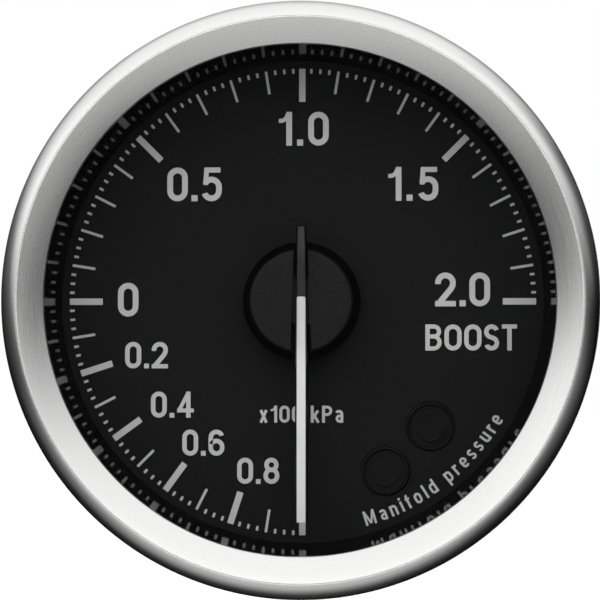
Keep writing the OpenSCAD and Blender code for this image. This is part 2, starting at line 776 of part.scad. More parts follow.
// The idler: a wheel driven by the rotor, and a pinion that drives the output wheel
module idler_gear() {
  half_tooth = 180 / idler_teeth;
  height = output_gear_top_z + pinion_over - idler_wheel_z;
  color("#e6e1d2") faced() translate([0, -idler_drop, idler_wheel_z]) difference() {
    union() {
      rotate([0, 0, -90 + half_tooth]) gear(idler_teeth, wheel_addendum_share, idler_wheel_t);
      rotate([0, 0, 90]) gear(pinion_teeth, pinion_addendum_share, height);
    }
    through(pin_r + running_fit, 0, height);
  }
}

// The output wheel with its stop peg
module output_gear() {
  half_tooth = 180 / output_teeth;
  color("#e6e1d2") faced() difference() {
    union() {
      at_z(output_gear_z) rotate([0, 0, -90 + half_tooth])
        gear(output_teeth, wheel_addendum_share, output_gear_t);
      rotate([0, 0, peg_angle]) translate([peg_orbit_r, 0, output_gear_z - peg_h])
        cylinder(r = peg_r, h = peg_h + output_gear_t / 2);
    }
    through(shaft_r + seat_fit, output_gear_z, output_gear_top_z);
  }
}

// The steel shaft from the motor to the needle
module output_shaft() {
  bottom_z = motor_floor_z + end_play;
  top_z = carrier_z - end_play;
  color("#c9cbcd") faced() at_z(bottom_z) cylinder(r = shaft_r, h = top_z - bottom_z);
}

// The metal bush that the needle is pressed on
module needle_bush() {
  color("#c0b48a") faced() at_z(bush_z) tube(bush_r, shaft_r + seat_fit, carrier_z - end_play - bush_z);
}

// The dark carrier with its hub, which the cap's slot passes over
module needle_body() {
  inner_share = 0.98;
  color("#2b2b2c") faced() {
    at_z(carrier_z) linear_extrude(carrier_t) polygon([
      [-tail_w / 2, tail_len], [-waist_w / 2, 0], [-shoulder_w / 2, -cap_r * inner_share],
      [-strip_w / 2, -needle_len], [strip_w / 2, -needle_len],
      [shoulder_w / 2, -cap_r * inner_share], [waist_w / 2, 0], [tail_w / 2, tail_len]
    ]);
    difference() {
      at_z(cap_z) cylinder(r = needle_hub_r, h = hub_top_z - cap_z);
      at_z(cap_z - overrun) cylinder(r = bush_r + seat_fit, h = carrier_z - end_play - cap_z + overrun);
    }
  }
}

// The white front of the needle
module needle_strip() {
  color("#f2f2f0") faced() at_z(carrier_top_z) translate([-strip_w / 2, -needle_len, 0])
    cube([strip_w, needle_len + strip_start, strip_t]);
}

// The matt cap with its flared skirt and the slot that tapers towards the tail
module hub_cap() {
  steps = 4;
  color("#333334") faced() difference() {
    at_z(cap_z) rotate_extrude() polygon(concat(
      [[0, 0], [cap_r + skirt_w, 0], [cap_r, skirt_h]],
      arc(cap_r - cap_edge_r, cap_h - cap_edge_r, cap_edge_r, 0, 90, steps),
      [[0, cap_h]]
    ));
    at_z(carrier_z - seat_fit) linear_extrude(cap_h) polygon([
      [-slot_narrow_w / 2, cap_r + overrun], [-slot_wide_w / 2, -cap_r - overrun],
      [slot_wide_w / 2, -cap_r - overrun], [slot_narrow_w / 2, cap_r + overrun]
    ]);
    at_z(cap_z - overrun) cylinder(r = needle_hub_r + seat_fit, h = hub_top_z + seat_fit - cap_z + overrun);
  }
}

// The barrel, with its neck, the ledge for the board and three bosses for the cover's screws
module case() {
  color("#1d1d1e") faced() difference() {
    union() {
      rotate_extrude() polygon([
        [bore_r, rear_z], [barrel_r, rear_z], [barrel_r, 0], [neck_r, 0], [neck_r, lens_z],
        [bore_r, lens_z], [bore_r, board_z], [ledge_r, board_z], [ledge_r, ledge_z], [bore_r, ledge_z]
      ]);
      round_circle(boss_orbit_r, screw_angles) at_z(rear_z + spigot_h) cylinder(r = boss_r, h = boss_len);
    }
    round_circle(boss_orbit_r, screw_angles) at_z(rear_z)
      cylinder(r = cover_screw_r + seat_fit, h = spigot_h + boss_len - end_play);
    round_circle(screw_orbit_r, board_screw_angles) through(board_screw_r + seat_fit, ledge_z, board_z);
  }
}

groove_r = bore_r - seal_r * 2 - seal_fit * 2;
groove_h = seal_r * 2 + seal_fit * 2;
groove_z = rear_z + (spigot_h - groove_h) / 2;

// The rubber ring between the cover's spigot and the barrel
module case_seal() {
  color("#151515") faced() at_z(groove_z + groove_h / 2) rotate_extrude()
    translate([bore_r - seal_fit - seal_r, 0]) circle(r = seal_r);
}

connector_x = (connector_gap + connector_w) / 2;
connector_places = [[-connector_x, -connector_drop], [connector_x, -connector_drop]];
insert_places = [[-insert_spacing / 2, -insert_drop], [insert_spacing / 2, -insert_drop]];
insert_wall = 0.8;
head_r = cover_screw_r * 2;
head_h = cover_screw_r * 1.3;

// The rear cover, with windows for the connectors, posts for the rear board and bosses for the bushes
module rear_cover() {
  cover_r = barrel_r - cover_step;
  edge = cover_t / 5;
  spigot_top = cover_t + spigot_h;
  pad_r = groove_r - boss_orbit_r - end_play;
  color("#232324") faced() difference() {
    union() {
      at_z(cover_z) rotate_extrude() polygon([
        [0, 0], [cover_r - edge, 0], [cover_r, edge], [cover_r, cover_t], [inside_r, cover_t],
        [inside_r, groove_z - cover_z], [groove_r, groove_z - cover_z],
        [groove_r, groove_z + groove_h - cover_z], [inside_r, groove_z + groove_h - cover_z],
        [inside_r, spigot_top], [inside_r - spigot_wall, spigot_top],
        [inside_r - spigot_wall, cover_t], [0, cover_t]
      ]);
      at_z(cover_z) round_circle(boss_orbit_r, screw_angles) cylinder(r = pad_r, h = spigot_top - end_play);
      round_circle(post_orbit_r, board_screw_angles) at_z(rear_z - cover_t / 2)
        cylinder(r = post_r, h = post_h + cover_t / 2);
      for (p = insert_places) translate([p[0], p[1], cover_z])
        cylinder(r = insert_r + insert_wall, h = insert_len);
    }
    round_circle(boss_orbit_r, screw_angles) {
      through(cover_screw_r + seat_fit, cover_z, rear_z + spigot_h);
      at_z(cover_z - overrun) cylinder(r = head_r + housing_fit, h = head_h + overrun);
    }
    round_circle(post_orbit_r, board_screw_angles) at_z(rear_board_z - board_screw_bite - end_play)
      cylinder(r = board_screw_r + seat_fit, h = board_screw_bite + end_play + overrun);
    for (p = insert_places) translate([p[0], p[1], cover_z - overrun])
      cylinder(r = insert_r + seat_fit, h = insert_len + overrun + overrun);
    for (p = connector_places) translate([p[0], p[1], cover_z - overrun])
      linear_extrude(cover_t + overrun + overrun)
        square([connector_w + housing_fit * 2, connector_tall + housing_fit * 2], center = true);
  }
}

// Three screws that hold the rear cover
module cover_screws() {
  color("#8c8c88") faced() at_z(cover_z + head_h) round_circle(boss_orbit_r, screw_angles)
    screw(cover_screw_r, cover_screw_len, head_r, head_h);
}

// The board that carries the connectors and the supply
module rear_board() {
  color("#1f5a3a") faced() difference() {
    at_z(rear_board_z) cylinder(r = rear_board_r, h = rear_board_t);
    round_circle(post_orbit_r, board_screw_angles)
      through(board_screw_r + seat_fit, rear_board_z, rear_board_top_z);
  }
}

// Three screws from the front, into the cover's posts
module rear_board_screws() {
  color("#a8a8a4") faced() at_z(rear_board_top_z) round_circle(post_orbit_r, board_screw_angles)
    rotate([180, 0, 0])
      screw(board_screw_r, rear_board_t + board_screw_bite, board_screw_head_r, small_head_h);
}

// Two supply capacitors beside the motor
module power_capacitors() {
  capacitor_x = (motor_half_w + rear_board_r) / 2;
  color("#c3c5c8") faced() for (x = [-capacitor_x, capacitor_x])
    translate([x, 0, rear_board_top_z]) cylinder(r = capacitor_r, h = capacitor_h);
}

// The voltage regulator, flat on the rear board above the motor
module voltage_regulator() {
  regulator_y = (motor_up + link_up) / 4;
  color("#1c1c1c") faced() translate([-chip_w / 2, regulator_y - chip_w / 4, rear_board_top_z])
    cube([chip_w, chip_w / 2, chip_h]);
}

// The plug between the boards: its header stands on the rear board
link_len = board_z - rear_board_top_z;
link_pin_xs = [for (i = [0 : pins_each - 1]) link_w * ((i + 1) / (pins_each + 1) - 1 / 2)];

module link_header() {
  color("#161616") faced() {
    translate([-link_w / 2, link_up - link_t / 2, rear_board_top_z])
      cube([link_w, link_t, link_len * header_share]);
    for (x = link_pin_xs) translate([x - contact_w / 2, link_up - contact_w / 2, rear_board_top_z])
      cube([contact_w, contact_w, link_len * (1 + header_share) / 2]);
  }
}

// Its socket hangs from the main board
module link_socket() {
  hole_w = contact_w + seat_fit * 2;
  socket_len = link_len * (1 - header_share);
  color("#161616") faced() difference() {
    translate([-link_w / 2, link_up - link_t / 2, board_z - socket_len]) cube([link_w, link_t, socket_len]);
    for (x = link_pin_xs) translate([x - hole_w / 2, link_up - hole_w / 2, board_z - socket_len - overrun])
      cube([hole_w, hole_w, socket_len * 3 / 4 + overrun]);
  }
}

connector_len = post_h + cover_t + connector_proud;
connector_z = rear_board_z - connector_len;
connector_depth = connector_len - connector_wall;
contact_z = connector_z + connector_depth - contact_len;

// A connector housing, open to the rear, with square holes for its pins
module connector(place) {
  color("#101010") faced() translate([place[0], place[1], connector_z]) difference() {
    linear_extrude(connector_len) square([connector_w, connector_tall], center = true);
    at_z(-overrun) linear_extrude(connector_depth + overrun)
      square([connector_w - connector_wall * 2, connector_tall - connector_wall * 2], center = true);
    for (i = [0 : pins_each - 1]) translate([(i - (pins_each - 1) / 2) * pin_pitch, 0, -overrun])
      linear_extrude(connector_len + overrun * 2) square(contact_w + seat_fit * 2, center = true);
  }
}

module connector_left() {
  connector(connector_places[0]);
}

module connector_right() {
  connector(connector_places[1]);
}

// The contact pins of both connectors
module connector_pins() {
  color("#c8a95a") faced() for (p = connector_places, i = [0 : pins_each - 1])
    translate([p[0] + (i - (pins_each - 1) / 2) * pin_pitch, p[1], contact_z])
      linear_extrude(rear_board_z - contact_z) square(contact_w, center = true);
}

// Two brass bushes with a threaded hole, for a mounting bracket
module threaded_inserts() {
  color("#b5954e") faced() for (p = insert_places) translate([p[0], p[1], cover_z])
    tube(insert_r, insert_hole_r, insert_len);
}

bezel();
lens();
lens_gasket();
inner_ring();
dial();
scale_marks();
peak_lamp_lens();
warning_lamp_lens();
light_guide();
light_box();
scale_leds();
lamp_leds();
main_board();
controller_chip();
board_screws();
motor_case_front();
motor_case_rear();
motor_bearing();
stator_plate();
coil_bobbins();
motor_coils();
motor_pins();
idler_pin();
rotor_pin();
rotor_magnet();
rotor_pinion();
idler_gear();
output_gear();
output_shaft();
needle_bush();
needle_body();
needle_strip();
hub_cap();
case();
case_seal();
rear_cover();
cover_screws();
rear_board();
rear_board_screws();
power_capacitors();
voltage_regulator();
link_header();
link_socket();
connector_left();
connector_right();
connector_pins();
threaded_inserts();
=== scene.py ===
"""Looks of a round boost gauge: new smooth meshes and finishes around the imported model.

Sizes are in millimetres in the gauge's own frame until a piece is placed: x to the right and y up as the
dial is read, z along the axis towards the viewer. Placing turns a mesh to the model's frame in metres.
"""

import json
import logging
import math
from abc import ABC, abstractmethod
from dataclasses import dataclass, field
from enum import Enum

import bmesh
import bpy
from mathutils import Matrix, Vector

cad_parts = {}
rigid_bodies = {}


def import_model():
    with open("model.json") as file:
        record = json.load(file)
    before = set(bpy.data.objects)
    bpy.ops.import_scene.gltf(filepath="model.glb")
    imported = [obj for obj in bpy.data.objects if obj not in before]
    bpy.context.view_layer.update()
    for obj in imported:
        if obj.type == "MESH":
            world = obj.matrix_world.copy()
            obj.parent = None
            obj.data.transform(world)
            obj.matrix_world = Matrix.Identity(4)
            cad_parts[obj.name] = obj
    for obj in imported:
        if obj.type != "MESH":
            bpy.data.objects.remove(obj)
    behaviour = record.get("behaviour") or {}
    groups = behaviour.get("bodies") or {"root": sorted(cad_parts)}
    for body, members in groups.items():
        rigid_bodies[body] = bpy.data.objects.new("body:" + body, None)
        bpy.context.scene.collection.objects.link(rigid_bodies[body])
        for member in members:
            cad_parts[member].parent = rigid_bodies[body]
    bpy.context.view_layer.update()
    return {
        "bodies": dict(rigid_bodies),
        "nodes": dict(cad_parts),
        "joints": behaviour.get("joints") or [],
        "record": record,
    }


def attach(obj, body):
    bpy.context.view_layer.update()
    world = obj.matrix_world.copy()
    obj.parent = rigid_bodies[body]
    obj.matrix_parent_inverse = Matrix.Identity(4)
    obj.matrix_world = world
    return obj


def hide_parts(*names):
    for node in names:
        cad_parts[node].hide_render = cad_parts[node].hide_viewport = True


LOG = logging.getLogger("boost_gauge")
MM = 0.001
TO_FRAME = Matrix.Rotation(math.radians(90), 4, "X") @ Matrix.Scale(MM, 4)
ROUND_STEPS = 256
SMALL_STEPS = 64
WELD = 1e-4
PAST = 1.0
SIDES = (-1, 1)
Tone = tuple[float, float, float]
Inputs = dict[str | int, object]
Socket = bpy.types.NodeSocket
Mesh = bmesh.types.BMesh


# ---- Node trees ---------------------------------------------------------------------------------------------


class Wiring:
    """Adds nodes to one node tree and joins their sockets."""

    def __init__(self, tree: bpy.types.NodeTree) -> None:
        """Starts on a tree and empties it."""
        self.tree = tree
        tree.nodes.clear()

    def add(self, kind: str, inputs: Inputs | None = None, **settings: object) -> bpy.types.Node:
        """Adds a node.

        Args:
            kind: The node's type, without its ShaderNode prefix.
            inputs: What each input holds: a socket to join, or a constant.
            settings: Values of the node's own properties.

        Returns:
            The new node.
        """
        prefix = "" if kind.startswith("NodeGroup") else "ShaderNode"
        node = self.tree.nodes.new(prefix + kind)
        for key, value in settings.items():
            setattr(node, key, value)
        for key, value in (inputs or {}).items():
            if isinstance(value, bpy.types.NodeSocket):
                self.tree.links.new(value, node.inputs[key])
            else:
                node.inputs[key].default_value = value
        return node

    def place(self) -> Socket:
        """Returns the place on the object, in the object's own coordinates."""
        return self.add("TexCoord").outputs["Object"]

    def axes(self) -> list[Socket]:
        """Returns that place as its three numbers."""
        return list(self.add("SeparateXYZ", {0: self.place()}).outputs)

    def math(self, operation: str, *terms: object) -> Socket:
        """Returns the result of a Math node on sockets or numbers."""
        return self.add("Math", dict(enumerate(terms)), operation=operation).outputs[0]

    def spread(self, value: object, low: float, high: float, start: float = 0.0, end: float = 1.0) -> Socket:
        """Returns a value between start and end, spread from low to high."""
        return self.add("MapRange", {"Value": value, "From Min": start, "From Max": end,
                                     "To Min": low, "To Max": high}).outputs["Result"]

    def around(self, mask: object, middle: float, play: float) -> Socket:
        """Returns a number that a mask of 0 to 1 varies by some play to both sides."""
        return self.spread(mask, middle - play, middle + play)

    def mixed(self, share: object, low: object, high: object) -> Socket:
        """Returns the mix of two colours, each a socket or a tone, by a share of 0 to 1."""
        low, high = ((*colour, 1.0) if isinstance(colour, tuple) else colour for colour in (low, high))
        return self.add("Mix", {0: share, 6: low, 7: high}, data_type="RGBA").outputs[2]

    def varied(self, tone: Tone, mask: object, play: float) -> Socket:
        """Returns a tone that a mask of 0 to 1 varies by a share of it to both sides."""
        return self.mixed(mask, *(tuple(c * (1 + way * play) for c in tone) for way in (-1, 1)))

    def bumped(self, height: object, depth_mm: float) -> Socket:
        """Returns the normal of a height of 0 to 1, where 1 stands for the depth."""
        return self.add("Bump", {"Height": height, "Distance": depth_mm * MM, "Strength": 1.0}).outputs[0]

    def group(self, tree: bpy.types.NodeTree, per_metre: float, **more: float) -> bpy.types.bpy_prop_collection:
        """Places a shared effect.

        Args:
            tree: Its node group.
            per_metre: How fine it is.
            more: What its other inputs hold.

        Returns:
            The outputs of its node.
        """
        return self.add("Group", {"Per Metre": per_metre, **more}, node_tree=tree).outputs


def start_group(name: str, inputs: dict[str, float], outputs: tuple[str, ...] = ("Height", "Mask")) -> tuple[
        Wiring, bpy.types.bpy_prop_collection]:
    """Starts a node group.

    Args:
        name: Name of the group.
        inputs: Name and standing value of each input.
        outputs: Name of each output.

    Returns:
        The group's wiring and the sockets of its inputs.
    """
    tree = bpy.data.node_groups.new(name, "ShaderNodeTree")
    for key, value in inputs.items():
        tree.interface.new_socket(key, in_out="INPUT", socket_type="NodeSocketFloat").default_value = value
    for key in outputs:
        tree.interface.new_socket(key, in_out="OUTPUT", socket_type="NodeSocketFloat")
    wiring = Wiring(tree)
    return wiring, wiring.add("NodeGroupInput").outputs


class Effects:
    """The shader node groups that several finishes share, each built once."""

    def __init__(self) -> None:
        """Builds the groups."""
        self.grain, self.turned = self._grain(), self._turned()
        self.drift, self.windings = self._drift(), self._windings()

    @staticmethod
    def _grain() -> bpy.types.NodeTree:
        """Returns the grain of moulded or blasted surfaces."""
        wiring, into = start_group("moulded_grain", {"Per Metre": 8000.0})
        place = {"Vector": wiring.place(), "Scale": into["Per Metre"]}
        fine = wiring.add("TexNoise", {**place, "Detail": 3.0, "Roughness": 0.6}).outputs["Fac"]
        cells = wiring.add("TexVoronoi", {**place, "Smoothness": 0.6}, feature="SMOOTH_F1").outputs["Distance"]
        both = wiring.math("ADD", wiring.math("MULTIPLY", fine, 0.6), wiring.math("MULTIPLY", cells, 0.4))
        wiring.add("NodeGroupOutput", {"Height": both, "Mask": both})
        return wiring.tree

    @staticmethod
    def _turned() -> bpy.types.NodeTree:
        """Returns the fine lines of a surface brushed or turned round the gauge's axis."""
        wiring, into = start_group("turned_lines", {"Per Metre": 14000.0, "Along": 5.0})
        across, depth, up = wiring.axes()
        squares = (wiring.math("MULTIPLY", way, way) for way in (across, up))
        radius = wiring.math("SQRT", wiring.math("ADD", *squares))
        lines, layers = (wiring.math("MULTIPLY", way, into["Per Metre"]) for way in (radius, depth))
        turns = (wiring.math("MULTIPLY", wiring.math("DIVIDE", way, radius), into["Along"]) for way in (across, up))
        place = wiring.add("CombineXYZ", dict(enumerate((lines, *turns)))).outputs[0]
        noise = wiring.add("TexNoise", {"Vector": place, "W": layers, "Scale": 1.0, "Detail": 2.0,
                                        "Roughness": 0.65}, noise_dimensions="4D").outputs["Fac"]
        wiring.add("NodeGroupOutput", {"Height": noise, "Mask": wiring.spread(noise, -0.5, 1.5)})
        return wiring.tree

    @staticmethod
    def _drift() -> bpy.types.NodeTree:
        """Returns the slow drift in tone and polish that any handled surface has."""
        wiring, into = start_group("slow_drift", {"Per Metre": 180.0}, ("Mask",))
        noise = wiring.add("TexNoise", {"Vector": wiring.place(), "Scale": into["Per Metre"], "Detail": 4.0,
                                        "Roughness": 0.55}).outputs["Fac"]
        wiring.add("NodeGroupOutput", {"Mask": noise})
        return wiring.tree

    @staticmethod
    def _windings() -> bpy.types.NodeTree:
        """Returns the turns of a wire stacked up the gauge."""
        wiring, into = start_group("windings", {"Per Metre": 6000.0})
        wave = wiring.add("TexWave", {"Vector": wiring.place(), "Scale": into["Per Metre"], "Distortion": 0.4,
                                      "Detail": 1.0}, bands_direction="Z").outputs["Fac"]
        wiring.add("NodeGroupOutput", {"Height": wave, "Mask": wave})
        return wiring.tree


# ---- Finishes -----------------------------------------------------------------------------------------------


def start_material(name: str) -> tuple[bpy.types.Material, Wiring]:
    """Starts a material.

    Args:
        name: Name of the material.

    Returns:
        The material and the wiring of its emptied tree.
    """
    material = bpy.data.materials.new(name)
    material.use_nodes = True
    return material, Wiring(material.node_tree)


@dataclass(frozen=True)
class Finish(ABC):
    """A finish by its middle tone; each kind says what the inputs of its shader hold."""

    tone: Tone

    def coat(self, wiring: Wiring, hue: Socket, shine: Socket, height: Socket, depth_mm: float) -> Inputs:
        """Wires what most kinds share.

        Args:
            wiring: Wiring of the material.
            hue: Mask that varies the tone.
            shine: Mask that varies the roughness.
            height: Height that is turned into a normal.
            depth_mm: What a height of 1 stands for.

        Returns:
            The inputs of the Principled shader for them.
        """
        return {"Base Color": wiring.varied(self.tone, hue, self.tone_play),
                "Roughness": wiring.around(shine, self.roughness, self.roughness_play),
                "Normal": wiring.bumped(height, depth_mm)}

    @abstractmethod
    def inputs(self, wiring: Wiring, effects: Effects) -> Inputs:
        """Wires the effects of the finish.

        Args:
            wiring: Wiring of the material.
            effects: The shared node groups.

        Returns:
            What each input of the Principled shader holds.
        """

    def outer(self, wiring: Wiring, shader: bpy.types.Node) -> bpy.types.Node:
        """Returns the shader that the material ends with, here the Principled one itself."""
        return shader

    def make(self, name: str, effects: Effects) -> bpy.types.Material:
        """Makes the material.

        Args:
            name: Name of the material.
            effects: The shared node groups.

        Returns:
            The material.
        """
        material, wiring = start_material(name)
        shader = self.outer(wiring, wiring.add("BsdfPrincipled", self.inputs(wiring, effects)))
        wiring.add("OutputMaterial", {"Surface": shader.outputs[0]})
        return material


@dataclass(frozen=True)
class Moulded(Finish):
    """Moulded plastic or rubber, from gloss to matt."""

    roughness: float
    grain_per_mm: float = 8.0
    grain_depth_mm: float = 0.004
    tone_play: float = 0.08
    roughness_play: float = 0.05
    specular: float = 0.5
    drift_per_metre: float = 160.0

    def inputs(self, wiring: Wiring, effects: Effects) -> Inputs:
        """Wires the effects, as Finish says."""
        grain = wiring.group(effects.grain, self.grain_per_mm / MM)
        drift = wiring.group(effects.drift, self.drift_per_metre)
        coat = self.coat(wiring, grain["Mask"], drift["Mask"], grain["Height"], self.grain_depth_mm)
        return {**coat, "Specular IOR Level": self.specular}


@dataclass(frozen=True)
class FlankShadedPlastic(Finish):
    """Black plastic with a greyer, grained front face; below it the flanks are darkened to near black as painted
    shade.
    """

    roughness: float
    specular: float
    flank_z: float
    face_z: float
    grain_per_mm: float
    grain_depth_mm: float
    tone_play: float
    # Share of the tone that the flanks keep under the painted shade
    flank_shade_share: float = 0.03
    roughness_play: float = 0.04

    def inputs(self, wiring: Wiring, effects: Effects) -> Inputs:
        """Wires the effects, as Finish says."""
        grain = wiring.group(effects.grain, self.grain_per_mm / MM)
        depth = wiring.axes()[1]
        # Painted shade: below the front face the tone falls towards black, standing for the shade on the flanks
        face = wiring.spread(depth, self.flank_shade_share, 1.0, -self.flank_z * MM, -self.face_z * MM)
        coat = self.coat(wiring, grain["Mask"], grain["Mask"], grain["Height"], self.grain_depth_mm)
        shade_painted_tone = wiring.mixed(face, (0.0, 0.0, 0.0), coat["Base Color"])
        return {**coat, "Base Color": shade_painted_tone, "Specular IOR Level": self.specular}


@dataclass(frozen=True)
class TurnedMetal(Finish):
    """Metal brushed or turned round the gauge's axis."""

    roughness: float
    lines_per_mm: float = 14.0
    along: float = 5.0
    line_depth_mm: float = 0.002
    tone_play: float = 0.03
    roughness_play: float = 0.06
    stretch: float = 0.0

    def inputs(self, wiring: Wiring, effects: Effects) -> Inputs:
        """Wires the effects, as Finish says."""
        lines = wiring.group(effects.turned, self.lines_per_mm / MM, Along=self.along)
        coat = self.coat(wiring, lines["Mask"], lines["Mask"], lines["Height"], self.line_depth_mm)
        if self.stretch:
            coat["Anisotropic"] = self.stretch
            coat["Tangent"] = wiring.add("Tangent", direction_type="RADIAL", axis="Y").outputs[0]
        return {**coat, "Metallic": 1.0}


@dataclass(frozen=True)
class WornMetal(Finish):
    """Plated, stamped or cast metal with a fine grain and slow stains."""

    roughness: float
    grain_per_mm: float = 5.0
    grain_depth_mm: float = 0.003
    tone_play: float = 0.12
    roughness_play: float = 0.1
    stains_per_metre: float = 400.0

    def inputs(self, wiring: Wiring, effects: Effects) -> Inputs:
        """Wires the effects, as Finish says."""
        grain = wiring.group(effects.grain, self.grain_per_mm / MM)
        stains = wiring.group(effects.drift, self.stains_per_metre)
        coat = self.coat(wiring, stains["Mask"], grain["Mask"], grain["Height"], self.grain_depth_mm)
        return {**coat, "Metallic": 1.0}


@dataclass(frozen=True)
class ClearPlate(Finish):
    """Clear glass or plastic that lets the lamps' light straight through."""

    roughness: float = 0.02
    ior: float = 1.49
    roughness_play: float = 0.01
    drift_per_metre: float = 120.0

    def inputs(self, wiring: Wiring, effects: Effects) -> Inputs:
        """Wires the effects, as Finish says."""
        drift = wiring.group(effects.drift, self.drift_per_metre)
        return {"Base Color": (*self.tone, 1.0), "IOR": self.ior, "Transmission Weight": 1.0,
                "Roughness": wiring.around(drift["Mask"], self.roughness, self.roughness_play)}

    def outer(self, wiring: Wiring, shader: bpy.types.Node) -> bpy.types.Node:
        """Returns the shader with a plain one for light on its way to what lies behind.

        Args:
            wiring: Wiring of the material.
            shader: The Principled shader.

        Returns:
            The mix of both.
        """
        through = wiring.add("BsdfTransparent", {0: (*self.tone, 1.0)})
        path = wiring.add("LightPath")
        passing = wiring.math("MAXIMUM", path.outputs["Is Shadow Ray"], path.outputs["Is Diffuse Ray"])
        return wiring.add("MixShader", {0: passing, 1: shader.outputs[0], 2: through.outputs[0]})


@dataclass(frozen=True)
class PrintedInk(Finish):
    """Screen print with a faint speckle where the coat is thin."""

    roughness: float = 0.62
    roughness_play: float = 0.05
    speckle_per_mm: float = 14.0
    coat_mm: float = 0.002
    tone_play: float = 0.09
    specular: float = 0.3

    def inputs(self, wiring: Wiring, effects: Effects) -> Inputs:
        """Wires the effects, as Finish says."""
        grain = wiring.group(effects.grain, self.speckle_per_mm / MM)
        coat = self.coat(wiring, grain["Mask"], grain["Mask"], grain["Height"], self.coat_mm)
        return {**coat, "Specular IOR Level": self.specular}


@dataclass(frozen=True)
class CircuitBoard(Finish):
    """Solder mask over copper tracks, seen as lighter lines and a small step."""

    track_tone: Tone
    cells_per_mm: float = 0.45
    tracks_each: float = 4.0
    gap_share: float = 0.62
    track_mm: float = 0.03
    roughness: float = 0.35
    roughness_play: float = 0.05
    drift_per_metre: float = 300.0

    def inputs(self, wiring: Wiring, effects: Effects) -> Inputs:
        """Wires the effects, as Finish says."""
        cells = wiring.add("TexVoronoi", {"Vector": wiring.place(), "Scale": self.cells_per_mm / MM},
                           feature="F1", distance="CHEBYCHEV").outputs["Distance"]
        bands = wiring.math("FRACT", wiring.math("MULTIPLY", cells, self.tracks_each))
        track = wiring.math("GREATER_THAN", bands, self.gap_share)
        drift = wiring.group(effects.drift, self.drift_per_metre)
        return {"Base Color": wiring.mixed(track, self.tone, self.track_tone),
                "Roughness": wiring.around(drift["Mask"], self.roughness, self.roughness_play),
                "Normal": wiring.bumped(track, self.track_mm)}


@dataclass(frozen=True)
class WoundWire(Finish):
    """Enamelled wire wound round a bobbin."""

    turns_per_mm: float = 6.0
    turn_mm: float = 0.05
    tone_play: float = 0.3
    roughness: float = 0.3
    dull_roughness: float = 0.45
    metallic: float = 0.9
    enamel: float = 0.6

    def inputs(self, wiring: Wiring, effects: Effects) -> Inputs:
        """Wires the effects, as Finish says."""
        turns = wiring.group(effects.windings, self.turns_per_mm / MM)
        return {"Base Color": wiring.varied(self.tone, turns["Mask"], self.tone_play),
                "Metallic": self.metallic, "Coat Weight": self.enamel,
                "Roughness": wiring.spread(turns["Mask"], self.dull_roughness, self.roughness),
                "Normal": wiring.bumped(turns["Height"], self.turn_mm)}


FINISHES: dict[str, Finish] = {
    "bezel_metal": TurnedMetal((0.9, 0.895, 0.885), 0.27, 12.0, 7.0, 0.0014, 0.022, 0.04, 0.4),
    "lens_clear": ClearPlate((0.985, 0.99, 0.99), 0.02, 1.08),
    "seal_rubber": Moulded((0.02, 0.02, 0.02), 0.75),
    "ring_black": Moulded((0.0008, 0.0008, 0.0009), 0.07, 3.0, 0.0002, 0.1, 0.015),
    "dial_black": Moulded((0.0098, 0.0098, 0.01), 0.62, 12.0, 0.004, 0.25, 0.05, 0.04),
    "scale_print": PrintedInk((0.56, 0.557, 0.547)),
    "lamp_smoke": Moulded((0.0042, 0.0042, 0.0043), 0.34, 10.0, 0.0003, 0.1, 0.03, 0.09),
    "guide_clear": ClearPlate((0.93, 0.96, 0.965), 0.06),
    "box_white": Moulded((0.8, 0.8, 0.78), 0.5),
    "led_yellow": Moulded((0.85, 0.78, 0.36), 0.3),
    "board_green": CircuitBoard((0.022, 0.12, 0.05), (0.05, 0.22, 0.09)),
    "chip_black": Moulded((0.02, 0.02, 0.021), 0.6, 14.0, 0.006),
    "screw_steel": WornMetal((0.6, 0.59, 0.56), 0.3),
    "motor_grey": Moulded((0.06, 0.06, 0.064), 0.48),
    "brass_turned": TurnedMetal((0.78, 0.56, 0.25), 0.25, 9.0, 3.0, 0.003),
    "stator_iron": WornMetal((0.42, 0.42, 0.43), 0.42),
    "bobbin_cream": Moulded((0.72, 0.66, 0.48), 0.45),
    "coil_copper": WoundWire((0.62, 0.24, 0.1)),
    "pin_plated": WornMetal((0.72, 0.7, 0.66), 0.25),
    "magnet_dark": WornMetal((0.18, 0.18, 0.19), 0.5, 7.0, 0.006),
    "gear_white": Moulded((0.76, 0.73, 0.62), 0.38),
    # needle_black and cap_black paint shade on the carrier's flanks, the cap's side and its skirt, below the heights
    # given
    "needle_black": FlankShadedPlastic((0.036, 0.036, 0.037), 0.42, 0.22, 1.36, 1.48, 9.0, 0.003, 0.1),
    "needle_white": Moulded((0.84, 0.84, 0.83), 0.4, 6.0, 0.001, 0.03),
    "cap_black": FlankShadedPlastic((0.0112, 0.0112, 0.0116), 0.46, 0.08, 2.1, 2.5, 3.2, 0.03, 1.0),
    "case_black": Moulded((0.016, 0.016, 0.0165), 0.52, 5.0, 0.012, 0.15),
    "capacitor_can": TurnedMetal((0.8, 0.8, 0.81), 0.28, 9.0, 3.0, 0.002),
    "connector_black": Moulded((0.014, 0.014, 0.014), 0.45, 6.0, 0.005),
    "contact_gold": WornMetal((0.85, 0.62, 0.28), 0.22),
}


class Palette:
    """The materials by the record's material slots."""

    def __init__(self) -> None:
        """Makes every material once."""
        effects = Effects()
        self.materials = {slot: finish.make(slot, effects) for slot, finish in FINISHES.items()}

    def dress_nodes(self, frame: dict) -> int:
        """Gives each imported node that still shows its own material.


        Returns:
            The number of nodes dressed.
        """
        dressed = 0
        for part in frame["record"]["subparts"]:
            node = frame["nodes"][part["node"]]
            if node.hide_render:
                continue
            for slot in node.material_slots:
                slot.material = self.materials[part["material_slot"]]
            dressed += 1
        return dressed


# ---- Making meshes ------------------------------------------------------------------------------------------


def of_kind(geom: list[object], kind: type) -> list[object]:
    """Returns those parts of a mesh that are of one kind."""
    return [item for item in geom if isinstance(item, kind)]


